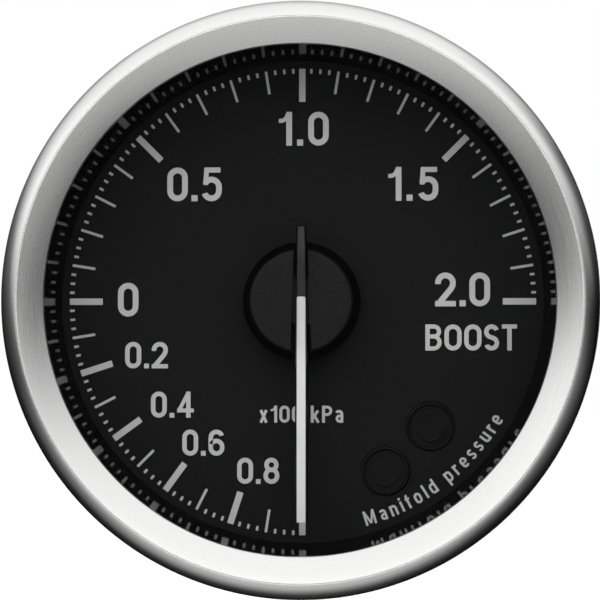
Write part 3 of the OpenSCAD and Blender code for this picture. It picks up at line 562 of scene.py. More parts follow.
def edges_at(bm: Mesh, z: float) -> list[bmesh.types.BMEdge]:
    """Returns the edges of a mesh that lie at one height."""
    return [edge for edge in bm.edges if all(abs(vert.co.z - z) < WELD for vert in edge.verts)]


def uprights(bm: Mesh) -> list[bmesh.types.BMEdge]:
    """Returns the edges of a mesh that don't lie level."""
    return [edge for edge in bm.edges if abs(edge.verts[0].co.z - edge.verts[1].co.z) > WELD]


def ease(bm: Mesh, edges: list[bmesh.types.BMEdge], width: float, steps: int) -> None:
    """Rounds edges of a mesh, or bevels them where there is one step."""
    bmesh.ops.bevel(bm, geom=edges, offset=width, segments=steps, profile=0.5, affect="EDGES", material=-1)


def moved(bm: Mesh, x: float, y: float = 0.0, z: float = 0.0) -> Mesh:
    """Moves a mesh and returns it."""
    bmesh.ops.translate(bm, vec=(x, y, z), verts=bm.verts[:])
    return bm


def outward(bm: Mesh) -> Mesh:
    """Turns the faces of a mesh outward and returns it."""
    bmesh.ops.recalc_face_normals(bm, faces=bm.faces[:])
    return bm


class Profile:
    """A section drawn in the plane of radius and height, then turned round the axis."""

    def __init__(self, r: float, z: float) -> None:
        """Starts the section at its first corner."""
        self.bm = bmesh.new()
        self.first = self.tip = self.bm.verts.new((r, 0.0, z))

    def to(self, *corners: tuple[float, float]) -> "Profile":
        """Draws straight lines.

        Args:
            corners: Radius and height of the end of each.

        Returns:
            The profile itself.
        """
        for r, z in corners:
            self.tip = bmesh.ops.extrude_vert_indiv(self.bm, verts=[self.tip])["verts"][0]
            self.tip.co = (r, 0.0, z)
        return self

    def sweep(self, r: float, z: float, degrees: float, steps: int = 8, stretch: float = 1.0) -> "Profile":
        """Draws an arc, from outwards to upwards where the angle is positive.

        Args:
            r: Radius of its middle.
            z: Height of its middle.
            degrees: Angle of the arc.
            steps: Number of lines in it.
            stretch: Height of the arc over its width, for an elliptic one that starts level with its middle.

        Returns:
            The profile itself.
        """
        before = set(self.bm.verts)
        spun = bmesh.ops.spin(self.bm, geom=[self.tip], cent=(r, 0, z), axis=(0, -1, 0), dvec=(0, 0, 0),
                              angle=math.radians(degrees), steps=steps, use_merge=False, use_duplicate=False)
        self.tip = of_kind(spun["geom_last"], bmesh.types.BMVert)[0]
        drawn = [vert for vert in self.bm.verts if vert not in before]
        bmesh.ops.scale(self.bm, vec=(1, 1, stretch), verts=drawn, space=Matrix.Translation((-r, 0, -z)))
        return self

    def turn(self, steps: int = ROUND_STEPS) -> Mesh:
        """Closes the section and turns it round the axis.

        Args:
            steps: Number of steps in the full turn.

        Returns:
            The closed mesh.
        """
        if not (self.first.co.x < WELD and self.tip.co.x < WELD):
            self.bm.edges.new((self.tip, self.first))
        bmesh.ops.spin(self.bm, geom=self.bm.verts[:] + self.bm.edges[:], cent=(0, 0, 0), axis=(0, 0, 1),
                       dvec=(0, 0, 0), angle=math.tau, steps=steps, use_merge=True, use_duplicate=False)
        bmesh.ops.remove_doubles(self.bm, verts=self.bm.verts[:], dist=WELD)
        bmesh.ops.delete(self.bm, geom=[edge for edge in self.bm.edges if not edge.link_faces], context="EDGES")
        return outward(self.bm)


def block(low: tuple[float, float, float], high: tuple[float, float, float]) -> Mesh:
    """Makes a box.

    Args:
        low: Its lowest corner.
        high: Its highest corner.

    Returns:
        The mesh.
    """
    bm = bmesh.new()
    size = Vector(high) - Vector(low)
    middle = (Vector(high) + Vector(low)) / 2
    bmesh.ops.create_cube(bm, size=1.0, matrix=Matrix.Translation(middle) @ Matrix.Diagonal((*size, 1)))
    return bm


def rod(radius: float, z0: float, z1: float, x: float = 0.0, y: float = 0.0,
        steps: int = SMALL_STEPS) -> Mesh:
    """Makes an upright round rod.

    Args:
        radius: Its radius.
        z0: Height of its lower end.
        z1: Height of its upper end.
        x: Place of its axis to the right.
        y: Place of its axis upwards.
        steps: Number of its sides.

    Returns:
        The mesh.
    """
    bm = bmesh.new()
    bmesh.ops.create_cone(bm, cap_ends=True, segments=steps, radius1=radius, radius2=radius, depth=z1 - z0,
                          matrix=Matrix.Translation((x, y, (z0 + z1) / 2)))
    return bm


def prism(outline: list[tuple[float, float]], z0: float, z1: float) -> Mesh:
    """Raises a flat outline.

    Args:
        outline: Its corners, in order.
        z0: Height of its lower face.
        z1: Height of its upper face.

    Returns:
        The closed mesh.
    """
    bm = bmesh.new()
    face = bm.faces.new([bm.verts.new((x, y, z0)) for x, y in outline])
    raised = bmesh.ops.extrude_face_region(bm, geom=[face])["geom"]
    bmesh.ops.translate(bm, vec=(0, 0, z1 - z0), verts=of_kind(raised, bmesh.types.BMVert))
    return outward(bm)


def joined(parts: list[Mesh]) -> Mesh:
    """Puts several meshes into one.

    Args:
        parts: The meshes, which are used up.

    Returns:
        The mesh of them all.
    """
    whole = bmesh.new()
    for part in parts:
        holder = bpy.data.meshes.new("part")
        part.to_mesh(holder)
        part.free()
        whole.from_mesh(holder)
        bpy.data.meshes.remove(holder)
    return whole


def turned_copies(part: Mesh, angles: tuple[float, ...]) -> Mesh:
    """Repeats a mesh round the axis.

    Args:
        part: The mesh at angle 0, which is used up.
        angles: Angles of the copies in degrees.

    Returns:
        The mesh of all copies.
    """
    copies = [part.copy() for _ in angles]
    for copy, angle in zip(copies, angles):
        bmesh.ops.rotate(copy, verts=copy.verts, cent=(0, 0, 0), matrix=Matrix.Rotation(math.radians(angle), 3, "Z"))
    part.free()
    return joined(copies)


def temporary_object(bm: Mesh, name: str) -> bpy.types.Object:
    """Makes a scratch object from a mesh.

    Args:
        bm: The mesh, which is used up.
        name: Name of the object.

    Returns:
        The object, linked to the scene.
    """
    mesh = bpy.data.meshes.new(name)
    bm.to_mesh(mesh)
    bm.free()
    thing = bpy.data.objects.new(name, mesh)
    bpy.context.scene.collection.objects.link(thing)
    return thing


def cut(body: Mesh, cutter: Mesh) -> Mesh:
    """Cuts one closed mesh out of another.

    Args:
        body: The mesh that is cut.
        cutter: The mesh that is taken away.

    Returns:
        What is left of the body.
    """
    whole = temporary_object(body, "cut_body")
    tool = temporary_object(cutter, "cut_tool")
    modifier = whole.modifiers.new("cut", "BOOLEAN")
    modifier.operation = "DIFFERENCE"
    modifier.solver = "EXACT"
    modifier.object = tool
    settled = whole.evaluated_get(bpy.context.evaluated_depsgraph_get())
    left = bmesh.new()
    left.from_mesh(settled.to_mesh())
    settled.to_mesh_clear()
    for thing in (whole, tool):
        mesh = thing.data
        bpy.data.objects.remove(thing)
        bpy.data.meshes.remove(mesh)
    bmesh.ops.remove_doubles(left, verts=left.verts[:], dist=WELD)
    return left


@dataclass
class Workshop:
    """Turns meshes into pieces of the gauge."""

    palette: Palette
    sharp_deg: float = 32.0

    def place(self, bm: Mesh, name: str, slot: str, body: str = "housing",
              replaces: tuple[str, ...] = (), bevel_mm: float = 0.0) -> bpy.types.Object:
        """Places a mesh in the model's frame as a finished piece.

        Args:
            bm: The mesh in millimetres, which is used up.
            name: Name of the piece.
            slot: Material slot of the record that it takes.
            body: Body that it rides on.
            replaces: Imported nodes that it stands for.
            bevel_mm: Width of a bevel on its sharp edges, or 0.

        Returns:
            The piece.
        """
        bmesh.ops.transform(bm, matrix=TO_FRAME, verts=bm.verts[:])
        piece = temporary_object(bm, name)
        mesh = piece.data
        mesh.materials.append(self.palette.materials[slot])
        mesh.shade_smooth()
        mesh.set_sharp_from_angle(angle=math.radians(self.sharp_deg))
        if bevel_mm:
            bevel = piece.modifiers.new("edges", "BEVEL")
            bevel.width = bevel_mm * MM
            bevel.segments = 2
            bevel.limit_method = "ANGLE"
            bevel.angle_limit = math.radians(self.sharp_deg)
            bevel.harden_normals = True
        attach(piece, body)
        if replaces:
            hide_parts(*replaces)
        LOG.info("%s: %d faces, on %s", name, len(mesh.polygons), body)
        return piece


# ---- The front ----------------------------------------------------------------------------------------------


@dataclass
class Bezel:
    """The satin ring: a convex roll outside, a soft ridge and a cone down to the opening."""

    shop: Workshop
    foot_r: float = 30.1
    outer_r: float = 32.0
    ridge_r: float = 30.1
    opening_r: float = 27.25
    seat_r: float = 29.5
    rear_z: float = 1.0
    foot_z: float = 1.6
    roll_z: float = 5.6
    roll_steps: int = 28
    ridge_z: float = 8.8
    lip_top_z: float = 7.4
    lip_z: float = 6.9
    ridge_round: float = 0.35
    ridge_turn_deg: float = 26.9
    lip_round: float = 0.12
    edge: float = 0.15

    def build(self) -> None:
        """Builds and dresses the ring."""
        roll_w = self.outer_r - self.ridge_r
        stretch = (self.ridge_z - self.roll_z) / roll_w
        section = Profile(self.foot_r, self.rear_z)
        section.to((self.outer_r - self.edge, self.rear_z), (self.outer_r, self.rear_z + self.edge),
                   (self.outer_r, self.roll_z))
        section.sweep(self.ridge_r, self.roll_z, 90, self.roll_steps, stretch)
        section.sweep(self.ridge_r, self.ridge_z - self.ridge_round, self.ridge_turn_deg, 6)
        section.to((self.opening_r + self.lip_round, self.lip_top_z + self.lip_round / 2),
                   (self.opening_r + self.lip_round / 4, self.lip_top_z - self.lip_round / 3),
                   (self.opening_r, self.lip_top_z - self.lip_round), (self.opening_r, self.lip_z),
                   (self.seat_r, self.lip_z), (self.seat_r, self.foot_z), (self.foot_r, self.foot_z))
        self.shop.place(section.turn(), "bezel_ring", "bezel_metal", replaces=("bezel",))


@dataclass
class TaperedWall:
    """The gloss black wall between dial and lens, which mirrors the scale."""

    shop: Workshop
    foot_r: float = 26.38
    top_r: float = 27.45
    outer_r: float = 28.1
    foot_z: float = -2.0
    top_z: float = 5.1
    edge: float = 0.08

    def build(self) -> None:
        """Builds and dresses the wall."""
        section = Profile(self.foot_r, self.foot_z)
        section.to((self.outer_r, self.foot_z), (self.outer_r, self.top_z), (self.top_r + self.edge, self.top_z),
                   (self.top_r - self.edge / 6, self.top_z - self.edge))
        self.shop.place(section.turn(), "tapered_wall", "ring_black", replaces=("inner_ring",))


@dataclass
class LampCover:
    """A smoked lamp cover: a low rolled rim, a shallow dish and a raised round in its middle."""

    shop: Workshop
    name: str
    node: str
    x: float
    y: float
    radius: float = 2.7
    flange_r: float = 3.1
    under_z: float = -5.0
    flange_z: float = -3.0
    dial_z: float = -2.0
    rim_h: float = 0.26
    rim_w: float = 0.46
    foot_w: float = 0.05
    dish_h: float = 0.02
    ridge_r: float = 1.6
    ridge_w: float = 0.36
    ridge_h: float = 0.16
    middle_h: float = 0.03
    fade_start: float = 0.3
    fade_pace: float = 1.6
    steps: int = 96

    def fade_ridge(self, bm: Mesh) -> None:
        """Flattens the inner ridge towards the top, so that it shows as a short arc below the middle.

        Args:
            bm: The cover, still centred on its own axis.
        """
        level = self.dial_z + self.dish_h
        for vert in bm.verts:
            away = vert.co.xy.length
            if vert.co.z > level + WELD and self.ridge_r / 2 + WELD < away < self.ridge_r + self.ridge_w:
                low = min(1.0, max(0.0, -self.fade_start - self.fade_pace * vert.co.y / away))
                vert.co.z = level + (vert.co.z - level) * low

    def build(self) -> None:
        """Builds and dresses the cover."""
        section = Profile(0, self.under_z)
        section.to((self.flange_r, self.under_z), (self.flange_r, self.flange_z), (self.radius, self.flange_z),
                   (self.radius, self.dial_z))
        section.sweep(self.radius - self.rim_w / 2, self.dial_z, 180, 10, self.rim_h * 2 / self.rim_w)
        section.to((self.radius - self.rim_w - self.foot_w, self.dial_z + self.dish_h / 2),
                   (self.ridge_r + self.ridge_w / 2, self.dial_z + self.dish_h))
        section.sweep(self.ridge_r, self.dial_z + self.dish_h, 180, 8, self.ridge_h * 2 / self.ridge_w)
        section.to((self.ridge_r / 2, self.dial_z + self.middle_h), (0, self.dial_z + self.middle_h))
        bm = section.turn(self.steps)
        self.fade_ridge(bm)
        self.shop.place(moved(bm, self.x, self.y), self.name, "lamp_smoke", replaces=(self.node,))


# ---- Lettering ----------------------------------------------------------------------------------------------


@dataclass(frozen=True)
class Stroke:
    """A line of one width, drawn from a start and a heading by steps forward and bends.

    A step is a length, and a bend is a pair of radius and degrees, to the left where these are positive.
    """

    x: float
    y: float
    heading: float
    moves: tuple[float | tuple[float, float], ...]
    nib: float = 0.17


def s_strokes(height: float, nib: float, lean: float) -> list[Stroke]:
    """Draws the letter S as two bowls joined by a leaning line.

    Args:
        height: Height of the letter.
        nib: Width of its line.
        lean: Angle of the middle line in degrees.

    Returns:
        Its one stroke.
    """
    cosine = math.cos(math.radians(lean))
    bowl = (height - nib) / (2 + 2 / cosine)
    middle_x = bowl + nib / 2
    upper_y = height - nib / 2 - bowl
    start = math.radians(20)
    turn = 250 - lean
    return [Stroke(middle_x + bowl * math.cos(start), upper_y + bowl * math.sin(start), 110,
                   ((bowl, turn), 2 * bowl * math.tan(math.radians(lean)), (bowl, -turn)), nib)]


RING = [Stroke(0.085, 0.37, 90, (0.12, (0.175, -180), 0.24, (0.175, -180), 0.12), 0.16)]
GLYPHS: dict[str, tuple[float, list[Stroke]]] = {
    "0": (0.61, [Stroke(0.085, 0.5, 90, (0.195, (0.22, -180), 0.39, (0.22, -180), 0.195))]),
    "1": (0.42, [Stroke(0.335, 0, 90, (1.0,)), Stroke(0.03, 0.735, 0, (0.06, (0.19, 72), 0.05), 0.12)]),
    "2": (0.61, [Stroke(0.085, 0.66, 90, (0.035, (0.22, -180), (0.3, -40), 0.5)),
                 Stroke(0, 0.08, 0, (0.61,), 0.16)]),
    "4": (0.64, [Stroke(0.43, 0, 90, (1.0,)), Stroke(0, 0.275, 0, (0.64,), 0.15),
                 Stroke(0.07, 0.27, 62.5, (0.78,), 0.14)]),
    "5": (0.61, [Stroke(0.1, 0.925, 0, (0.47,), 0.15), Stroke(0.16, 0.98, -93.5, (0.5,), 0.14),
                 Stroke(0.1145, 0.53, 60, ((0.22, -150), 0.115, (0.22, -160)))]),
    "6": (0.61, [Stroke(0.5117, 0.77, 110, ((0.22, 160), 0.39, (0.22, 180), 0.04, (0.22, 155)))]),
    "8": (0.61, [Stroke(0.525, 0.305, 90, (0.02, (0.22, 180), 0.02, (0.22, 180))),
                 Stroke(0.495, 0.725, 90, ((0.19, 360),))]),
    ".": (0.18, [Stroke(0.09, 0, 90, (0.18,), 0.18)]),
    "B": (0.63, [Stroke(0.085, 0, 90, (1.0,)), Stroke(0.085, 0.92, 0, (0.25, (0.19, -180), 0.25), 0.16),
                 Stroke(0.085, 0.54, 0, (0.23, (0.23, -180), 0.23), 0.16)]),
    "O": (0.66, [Stroke(0.085, 0.5, 90, (0.17, (0.245, -180), 0.34, (0.245, -180), 0.17))]),
    "S": (0.58, s_strokes(1.0, 0.17, 20)),
    "T": (0.58, [Stroke(0, 0.92, 0, (0.58,), 0.16), Stroke(0.29, 0, 90, (0.92,))]),
    "P": (0.6, [Stroke(0.085, 0, 90, (1.0,)), Stroke(0.085, 0.92, 0, (0.21, (0.22, -180), 0.21), 0.16)]),
    "M": (0.78, [Stroke(0.08, 0, 90, (1.0,), 0.16), Stroke(0.7, 0, 90, (1.0,), 0.16),
                 Stroke(0.09, 0.97, -71, (0.92,), 0.14), Stroke(0.69, 0.97, -109, (0.92,), 0.14)]),
    "a": (0.52, [Stroke(0.435, 0, 90, (0.5, (0.17, 150)), 0.16),
                 Stroke(0.435, 0.4, 180, (0.13, (0.16, 180), 0.13), 0.15)]),
    "d": (0.52, [Stroke(0.435, 0, 90, (1.0,), 0.16), *RING]),
    "e": (0.52, [Stroke(0.085, 0.36, 0, (0.35,), 0.13),
                 Stroke(0.435, 0.36, 90, (0.13, (0.175, 180), 0.24, (0.175, 145)), 0.16)]),
    "f": (0.34, [Stroke(0.14, 0, 90, (0.8, (0.115, -85)), 0.16), Stroke(0, 0.675, 0, (0.32,), 0.13)]),
    "i": (0.17, [Stroke(0.085, 0, 90, (0.74,), 0.16), Stroke(0.085, 0.85, 90, (0.15,), 0.16)]),
    "k": (0.53, [Stroke(0.085, 0, 90, (1.0,)), Stroke(0.13, 0.3, 54, (0.5,), 0.16),
                 Stroke(0.2, 0.42, -59, (0.49,), 0.16)]),
    "l": (0.17, [Stroke(0.085, 0, 90, (1.0,), 0.16)]),
    "n": (0.52, [Stroke(0.085, 0, 90, (0.74,), 0.16), Stroke(0.085, 0.49, 90, ((0.175, -180), 0.49), 0.16)]),
    "o": (0.52, RING),
    "p": (0.52, [Stroke(0.085, -0.26, 90, (1.0,), 0.16), *RING]),
    "r": (0.36, [Stroke(0.085, 0, 90, (0.74,), 0.16), Stroke(0.085, 0.45, 90, ((0.2, -75), 0.1), 0.16)]),
    "s": (0.45, s_strokes(0.75, 0.15, 25)),
    "u": (0.52, [Stroke(0.435, 0, 90, (0.74,), 0.16), Stroke(0.085, 0.74, -90, (0.49, (0.175, 180)), 0.16)]),
    "x": (0.5, [Stroke(0.085, 0, 66, (0.81,), 0.16), Stroke(0.415, 0, 114, (0.81,), 0.16)]),
    " ": (0.24, []),
}


@dataclass(frozen=True)
class Label:
    """A straight word or figure on the dial, by its middle and its height."""

    text: str
    x: float
    y: float
    height: float
    gap: float = 0.11


@dataclass
class Lettering:
    """The printed figures and words, drawn stroke by stroke."""

    shop: Workshop
    dial_z: float = -2.0
    sink: float = 0.01
    print_t: float = 0.05
    layer_share: float = 0.0012
    bend_steps_deg: float = 12.0
    arc_text: str = "Manifold pressure"
    arc_r: float = 25.5
    arc_height: float = 1.6
    arc_gap: float = 0.27
    arc_middle_deg: float = 307.8
    labels: tuple[Label, ...] = (
        Label("1.0", 0.11, 18.95, 3.7, 0.15), Label("0.5", -11.83, 12.87, 3.7), Label("1.5", 12.1, 12.87, 3.7, 0.15),
        Label("2.0", 17.52, 1.31, 3.7), Label("0", -19.11, 0.22, 3.7), Label("BOOST", 18.45, -3.94, 2.85, 0.1),
        Label("0.2", -17.09, -5.86, 2.9), Label("0.4", -14.24, -11.28, 2.85), Label("0.6", -10.84, -15.44, 2.85),
        Label("0.8", -4.82, -18.51, 2.85), Label("x100 kPa", -0.11, -12.32, 1.86, 0.13),
    )

    def draw_stroke(self, bm: Mesh, stroke: Stroke, lift: float) -> None:
        """Draws one stroke as a flat ribbon.

        Args:
            bm: Mesh that gets the ribbon.
            stroke: The stroke.
            lift: Height of the ribbon, so that it shares no plane with the one that it crosses.
        """
        heading = math.radians(stroke.heading)
        here = Vector((stroke.x, stroke.y, lift))
        side = Vector((-math.sin(heading), math.cos(heading), 0)) * stroke.nib / 2
        edge = bm.edges.new((bm.verts.new(here + side), bm.verts.new(here - side)))
        for move in stroke.moves:
            left = Vector((-math.sin(heading), math.cos(heading), 0))
            if isinstance(move, tuple):
                radius, degrees = move
                angle = math.radians(degrees)
                centre = here + left * math.copysign(radius, degrees)
                steps = max(2, round(abs(degrees) / self.bend_steps_deg))
                grown = bmesh.ops.spin(bm, geom=[*edge.verts, edge], cent=centre, axis=(0, 0, 1), dvec=(0, 0, 0),
                                       angle=angle, steps=steps, use_merge=False, use_duplicate=False)["geom_last"]
                heading += angle
                here = centre + Matrix.Rotation(angle, 3, "Z") @ (here - centre)
            else:
                step = Vector((math.cos(heading), math.sin(heading), 0)) * move
                grown = bmesh.ops.extrude_edge_only(bm, edges=[edge])["geom"]
                bmesh.ops.translate(bm, vec=step, verts=of_kind(grown, bmesh.types.BMVert))
                here += step
            edge = of_kind(grown, bmesh.types.BMEdge)[0]

    def draw_glyph(self, bm: Mesh, letter: str, place: Matrix) -> None:
        """Draws one letter.

        Args:
            bm: Mesh that gets the letter.
            letter: The letter.
            place: Where the letter's left foot goes, with its size and direction.
        """
        before = set(bm.verts)
        for layer, stroke in enumerate(GLYPHS[letter][1]):
            self.draw_stroke(bm, stroke, layer * self.layer_share)
        bmesh.ops.transform(bm, matrix=place, verts=[v for v in bm.verts if v not in before])

    def draw_label(self, bm: Mesh, label: Label) -> None:
        """Draws one straight label.

        Args:
            bm: Mesh that gets the label.
            label: The label.
        """
        width = sum(GLYPHS[letter][0] + label.gap for letter in label.text) - label.gap
        x = label.x - width * label.height / 2
        for letter in label.text:
            place = Matrix.Translation((x, label.y - label.height / 2, 0)) @ Matrix.Scale(label.height, 4)
            self.draw_glyph(bm, letter, place)
            x += (GLYPHS[letter][0] + label.gap) * label.height

    def draw_arc(self, bm: Mesh) -> None:
        """Draws the words that follow the scale's circle, their feet outwards.

        Args:
            bm: Mesh that gets the words.
        """
        middle_r = self.arc_r - self.arc_height / 2
        per_unit = math.degrees(self.arc_height / middle_r)
        width = sum(GLYPHS[letter][0] + self.arc_gap for letter in self.arc_text) - self.arc_gap
        angle = self.arc_middle_deg - width * per_unit / 2
        for letter in self.arc_text:
            advance = GLYPHS[letter][0]
            turn = Matrix.Rotation(math.radians(angle + advance * per_unit / 2 + 90), 4, "Z")
            place = turn @ Matrix.Translation((0, -self.arc_r, 0)) @ Matrix.Scale(self.arc_height, 4)
            self.draw_glyph(bm, letter, place @ Matrix.Translation((-advance / 2, 0, 0)))
            angle += (advance + self.arc_gap) * per_unit

    def build(self) -> None:
        """Builds and dresses all figures and words."""
        bm = bmesh.new()
        for label in self.labels:
            self.draw_label(bm, label)
        self.draw_arc(bm)
        moved(bm, 0, 0, self.dial_z - self.sink)
        raised = bmesh.ops.extrude_face_region(bm, geom=bm.faces[:], use_keep_orig=True)["geom"]
        bmesh.ops.translate(bm, vec=(0, 0, self.print_t + self.sink), verts=of_kind(raised, bmesh.types.BMVert))
        self.shop.place(outward(bm), "dial_figures", "scale_print")


# ---- The needle ---------------------------------------------------------------------------------------------


@dataclass
class Needle:
    """The dark carrier with its hub, the white front and the slotted cap over them."""

    shop: Workshop
    tail_len: float = 8.07
    tip_len: float = 23.97
    tail_w: float = 0.69
    waist_w: float = 1.08
    shoulder_w: float = 1.35
    shoulder_y: float = -6.7
    flank_w: float = 0.2
    neck_y: float = -7.4
    strip_w: float = 0.98
    strip_start: float = 0.46
    carrier_z: float = 0.8
    carrier_top_z: float = 1.5
    strip_t: float = 0.25
    blade_round: float = 0.06
    strip_corner: float = 0.22
    strip_round: float = 0.07
    hub_r: float = 2.6
    hub_z: float = -0.2
    hub_top_z: float = 1.15
    bush_r: float = 1.53
    bush_top_z: float = 0.7
    cap_r: float = 5.55
    cap_top_z: float = 2.8
    cap_edge: float = 0.3
    cap_bevel: float = 0.06
    # A flared skirt under the cap, made near black by cap_black's painted flank shade: a dark ring put where the
    # cap's shadow falls on the dial
    shadow_skirt_w: float = 0.85
    shadow_skirt_h: float = 1.3
    shadow_skirt_edge: float = 0.1
    hub_gap: float = 0.03
    slot_floor_z: float = 0.77
    slot_narrow_w: float = 1.5
    slot_wide_w: float = 2.4

    def build_carrier(self) -> None:
        """Builds the carrier with its hub."""
        right = [(self.waist_w / 2, 0.0), (self.shoulder_w / 2, self.shoulder_y),
                 (self.strip_w / 2, self.neck_y), (self.strip_w / 2, -self.tip_len)]
        left = [(-x, y) for x, y in reversed(right)]
        tail = [(-self.tail_w / 2, self.tail_len), (self.tail_w / 2, self.tail_len)]
        blade = prism([*right, *left, *tail], self.carrier_z, self.carrier_top_z)
        # The flanks slope out to a wider foot; needle_black paints them near black as painted shade
        for vert in blade.verts:
            if vert.co.z < self.carrier_z + WELD:
                vert.co.x += math.copysign(self.flank_w, vert.co.x)
                vert.co.y += self.flank_w if vert.co.y > self.tail_len - WELD else 0.0
        ease(blade, edges_at(blade, self.carrier_top_z), self.blade_round, 3)
        hub = Profile(self.bush_r, self.hub_z)
        hub.to((self.hub_r, self.hub_z), (self.hub_r, self.hub_top_z), (0, self.hub_top_z), (0, self.bush_top_z),
               (self.bush_r, self.bush_top_z))
        self.shop.place(joined([blade, hub.turn(SMALL_STEPS)]), "needle_carrier", "needle_black", "needle",
                        ("needle_body",))

    def build_strip(self) -> None:
        """Builds the white front with its eased edges."""
        strip = block((-self.strip_w / 2, -self.tip_len, self.carrier_top_z),
                      (self.strip_w / 2, self.strip_start, self.carrier_top_z + self.strip_t))
        ease(strip, [edge for edge in uprights(strip) if edge.verts[0].co.y > 0], self.strip_corner, 5)
        ease(strip, edges_at(strip, self.carrier_top_z + self.strip_t), self.strip_round, 3)
        self.shop.place(strip, "needle_front", "needle_white", "needle", ("needle_strip",))

    def build_cap(self) -> None:
        """Builds the cap and cuts its tapered slot."""
        # The shadow skirt flares out under the cap as a painted shadow ring
        section, foot_r, shadow_skirt_z = Profile(0, self.hub_z), self.cap_r + self.shadow_skirt_w, self.hub_z + self.shadow_skirt_h
        section.to((foot_r - self.shadow_skirt_edge, self.hub_z), (foot_r, self.hub_z + self.shadow_skirt_edge),
                   (self.cap_r + self.shadow_skirt_edge / 2, shadow_skirt_z), (self.cap_r, shadow_skirt_z + self.shadow_skirt_edge),
                   (self.cap_r, self.cap_top_z - self.cap_edge))
        section.sweep(self.cap_r - self.cap_edge, self.cap_top_z - self.cap_edge, 90, 6).to((0, self.cap_top_z))
        past = self.cap_r + PAST
        slot = prism([(-self.slot_narrow_w / 2, past), (-self.slot_wide_w / 2, -past),
                      (self.slot_wide_w / 2, -past), (self.slot_narrow_w / 2, past)],
                     self.slot_floor_z, self.cap_top_z + PAST)
        hollow = rod(self.hub_r + self.hub_gap, self.hub_z - PAST, self.hub_top_z + self.hub_gap)
        body = cut(cut(section.turn(), slot), hollow)
        self.shop.place(body, "needle_cap", "cap_black", "needle", ("hub_cap",), self.cap_bevel)

    def build(self) -> None:
        """Builds the three pieces."""
        self.build_carrier()
        self.build_strip()
        self.build_cap()


# ---- The housing --------------------------------------------------------------------------------------------


